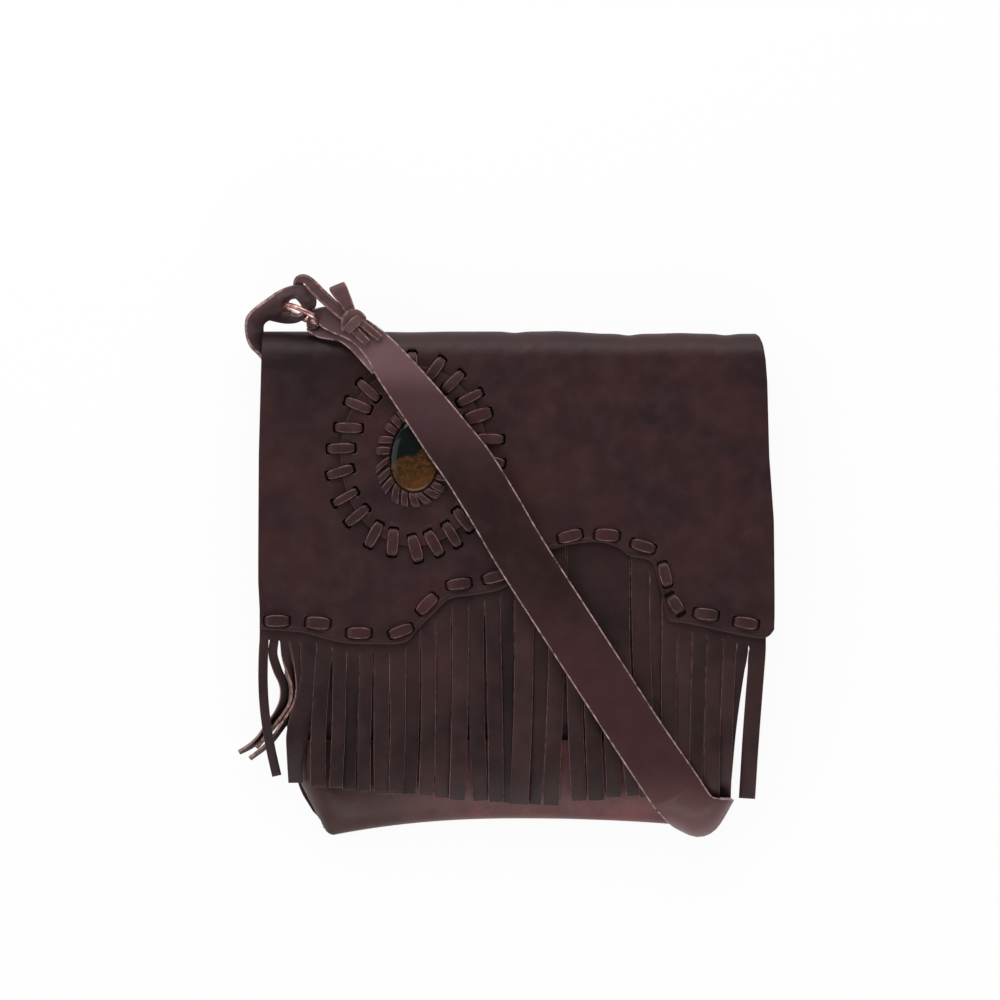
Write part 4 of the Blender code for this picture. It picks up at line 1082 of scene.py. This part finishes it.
# The strap's colour is painted paler at its upper end and palest beside the knot, partly handling wear and
# partly painted sheen, and painted a little lighter and redder down its front and round the corner, as painted
# light where its slope turns it to the lamps
tree = strap_hide.node_tree
colour = tree.nodes["Principled BSDF"].inputs["Base Color"]
spot = add(tree, "ShaderNodeSeparateXYZ", {0: add(tree, "ShaderNodeTexCoord").outputs["Object"]})
height = spot.outputs["Y"]
beside = add(tree, "ShaderNodeMath", {0: height, 1: -0.123}, operation="ADD")
beside = add(tree, "ShaderNodeMath", {0: beside.outputs[0]}, operation="ABSOLUTE").outputs[0]
rubbed = colour.links[0].from_socket
# rubbed carries both the handling wear and the painted sheen and painted light
for value, start, end, most, code in (
    (height, 0.05, 0.105, 0.8, "#4b3437"), (height, 0.005, -0.045, 0.6, "#43282b"),
    (beside, 0.022, 0.004, 0.75, "#6b5053"), (height, -0.095, -0.135, 1.0, "#5a3c3c"),
):
    rubbed = mixed(tree, ranged(tree, value, start, end, high=most, curve="SMOOTHSTEP"), rubbed, code)
tree.links.new(rubbed, colour)
strap_edge = raw_edge("raw edge of the strap", "#b09590")
# A narrow pale margin along both cut sides, left out where the strap is bent round the ring
trimmed = []
for row in smooth:
    inward = [(row[a] - row[b]) / np.linalg.norm(row[a] - row[b]) for a, b in ((1, 0), (-2, -1))]
    low = np.array([0, 0, 0.2])
    left = [row[0] - low, row[0] + PALE_MARGIN * inward[0]]
    right = [row[-1] + PALE_MARGIN * inward[1], row[-1] - low]
    trimmed.append([*left, *row[1:-1], *right])
gaps = len(trimmed[0]) - 1
doubled = ROW_STEPS * (len(rows) - len(STRAP_END) - len(NECK_LOWER) - len(RING_TURNS))
bent = range(doubled - ROW_STEPS + 1, doubled + ROW_STEPS * len(RING_TURNS))
pale = [i * gaps + j for i in range(len(trimmed) - 1) for j in (0, gaps - 1) if i not in bent]
strap = hide_of("strap_leather", trimmed, (strap_hide, strap_edge), pale)
leathered(strap, STRAP_THICK, 0.0, 0.25)
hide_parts("shoulder_strap")
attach(strap, "bag")


# Ring: a plain ring of round copper-coloured wire, 2.8 mm thick, with a light tarnish in its polish.
bpy.ops.object.select_all(action="DESELECT")
bpy.ops.mesh.primitive_torus_add(major_radius=RING_RADIUS / 1000, minor_radius=WIRE / 1000,
                                 major_segments=96, minor_segments=24)
ring = bpy.context.active_object
ring.name = "copper_ring"
for vertex in ring.data.vertices:
    x, y, z = vertex.co
    vertex.co = RING_CENTRE / 1000 + ring_u * x + ring_v * y + ring_n * z
ring.data.shade_smooth()
copper, tree, shader = new_finish("tarnished copper wire")
tarnish = clouded(tree, add(tree, "ShaderNodeTexCoord").outputs["Object"], 350.0, 4.0)
base = mixed(tree, ranged(tree, tarnish, 0.4, 0.7), "#dcaea8", "#8f5f58")
tree.links.new(base, shader.inputs["Base Color"])
tree.links.new(ranged(tree, tarnish, 0, 1, 0.22, 0.42), shader.inputs["Roughness"])
shader.inputs["Metallic"].default_value = 1.0
ring.data.materials.append(copper)
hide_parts("strap_ring")
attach(ring, "ring")


# Ring tab: a short leather strip sewn in the side seam. It leans out round the corner, bulges over the ring,
# goes down through it and is turned back along itself.
TAB_THICK = 1.8
TAB_LANES = (0, 0.08, 0.35, 0.7, 1, 1.3, 1.65, 1.92, 2)
# Spots on its outer edge, its ridge and its inner edge, with their heights over the front of the bag
TAB_EDGES = (
    (-133.2, 88, -9.5, -133.2, 88, -17.8, -133.2, 88, -26.5),
    (-133.8, 99.9, -9, -133.7, 99.9, -17.1, -133.5, 99.9, -25.5),
    (-136.2, 113.6, -8.5, -135.4, 113.3, -16.1, -134.6, 113, -24),
    (-140.3, 123.1, -8, -138.4, 122.2, -14.6, -136.5, 121.2, -21.5),
    (-146.6, 129.9, -7, -142.3, 129.4, -12.6, -138.1, 128.9, -18.5),
    (-148.9, 137.6, -5.5, -144.3, 136.5, -10.3, -139.7, 135.4, -15.5),
    (-148.2, 144.7, -4.5, -146.1, 143.1, -9, -139.7, 141.1, -14),
    (-144.1, 149.6, -2.5, -142, 147.4, -7, -136.8, 144.1, -15),
    (-137.3, 154.5, -0.5, -136, 152.9, -4, -131.3, 146.3, -14.5),
    (-130.2, 159.4, 1.5, -129.4, 156.2, -1, -127.2, 150.7, -11),
    (-122.6, 162.4, 3, -123.4, 157.8, 1.5, -124.8, 154.2, -4.5),
    (-116, 162.2, 3.5, -118.2, 157.8, 4, -121.8, 155.3, 1.2),
    (-111.4, 158.3, 2, -115.2, 155.1, 3, -119.3, 152.9, 2),
    (-110.6, 153.2, -1.5, -114.4, 151.7, -0.6, -118.2, 150.2, 0),
    (-112.2, 149.9, -5.5, -115.1, 149.1, -3.8, -117.9, 148.2, -2.5),
    (-115.2, 147.1, -8.5, -117.1, 147, -6.3, -119, 146.9, -4.5),
    (-117.9, 144.7, -10.2, -119.7, 145.5, -7.7, -121.5, 146.3, -5.7),
    (-121.5, 142.8, -12, -123.4, 145.1, -9.8, -125.3, 147.3, -8),
    (-126.9, 142.2, -15, -128.6, 145.6, -13.8, -130.2, 149.1, -13),
    (-133, 143.1, -17.5, -133.8, 146.1, -16.8, -134.6, 149.1, -16.5),
    (-137.9, 144.1, -18.5, -138.2, 146.3, -18.1, -138.4, 148.5, -18),
    (-141.7, 144.4, -19, -141.7, 145.5, -18.8, -141.7, 146.6, -19),
)
rows = []
for row in spline(TAB_EDGES, 8):
    outer, ridge, inner = row.reshape(3, 3) + np.array([0, 0, DEPTH])
    rows.append([
        outer + (ridge - outer) * min(v, 1) + (inner - ridge) * max(v - 1, 0) for v in TAB_LANES
    ])
tab_hide = oiled_leather("oiled tab leather, rubbed", "#433134", "#564144", "#5f474a", "#786062", 0.44,
                         grain=0.7)
tab = hide_of("tab_leather", rows, (tab_hide, strap_edge))
leathered(tab, TAB_THICK, 0.0, 0.35)
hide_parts("ring_tab")
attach(tab, "bag")


# Tie lace: a length of lacing that comes off the tab's loop and is knotted round the doubled strap, with one
# long ear above the knot and two tails below it. Each spot is x, y, z, the turn of its side and its width.
TIE_STRIP = (
    (-119.2, 155.4, 27, 0, 5.4), (-119.2, 159.5, 28.6, 0, 5.6), (-120.1, 163.3, 32.2, 0, 5.8),
    (-118.6, 165.4, 35.6, -40, 6.2), (-115.5, 164.8, 36.9, -95, 6.6), (-111.9, 161.6, 37.1, -126, 6.7),
    (-107.6, 157.2, 37.2, -133, 6.7), (-102.9, 152.8, 37.4, -134, 6.6), (-98, 148.2, 37.8, -136, 6.2),
    (-93.1, 144.1, 38.2, -136, 5.4),
)
TIE_EAR = (
    (-90.5, 146, 37.4, 28, 5), (-94, 153, 37.8, 26, 7.2), (-98, 160, 38, 22, 9.4), (-98.8, 162, 39.6, 22, 9),
    (-97.6, 159.8, 41, 22, 9), (-94, 153, 40.3, 26, 6.8), (-91, 147, 39.6, 28, 4.6),
)
TIE_TAILS = (
    (
        (-86.5, 142.8, 40.2, -126, 4.6), (-83.3, 140, 40.4, -128, 4.2), (-79.4, 136.8, 39.4, -130, 4.4),
        (-75.1, 133.2, 38.8, -130, 3.6),
    ),
    (
        (-90.9, 140.3, 39.6, -140, 4.8), (-87.9, 136.5, 39.8, -140, 5), (-84.9, 133.5, 39.2, -138, 4.8),
        (-82.2, 130.8, 38.6, -135, 4.4),
    ),
)
KNOT_WRAPS = (
    (
        (-93.9, 137.6, 37.6, 5, 5.2), (-93.9, 142.5, 40.2, -20, 6), (-91.2, 146.1, 41.6, -65, 6.2),
        (-87.4, 145.8, 41.2, -115, 5.8), (-84.4, 142.8, 38.6, -135, 5),
    ),
    (
        (-85.7, 145, 40.6, -48, 4.6), (-88.2, 142.8, 42.6, -48, 5.4), (-91.2, 140, 42.6, -48, 5.4),
        (-93.6, 137.6, 39.4, -48, 4.8),
    ),
)
tie_hide = oiled_leather("handled lacing leather", "#463133", "#573f41", "#5f4346", "#75595b", 0.46,
                         grain=0.7)
tie_edge = raw_edge("raw edge of the handled lacing", "#96746f")
parts = []
for name, path in (
    ("tie_strip", TIE_STRIP), ("tie_ear", TIE_EAR), ("tie_tail", TIE_TAILS[0]), ("tie_tail", TIE_TAILS[1]),
    ("tie_wrap", KNOT_WRAPS[0]), ("tie_wrap", KNOT_WRAPS[1]),
):
    stations = []
    for x, y, z, angle, width in spline(path, 5):
        a = math.radians(angle)
        stations.append(((x, y, z), (math.cos(a), math.sin(a), 0), width, LACE_THICK, 0.1))
    parts.append(band(name, stations, (tie_hide, tie_edge)))
tie = joined(parts, "tie_lacing")
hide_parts("tie_lace")
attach(tie, "bag")
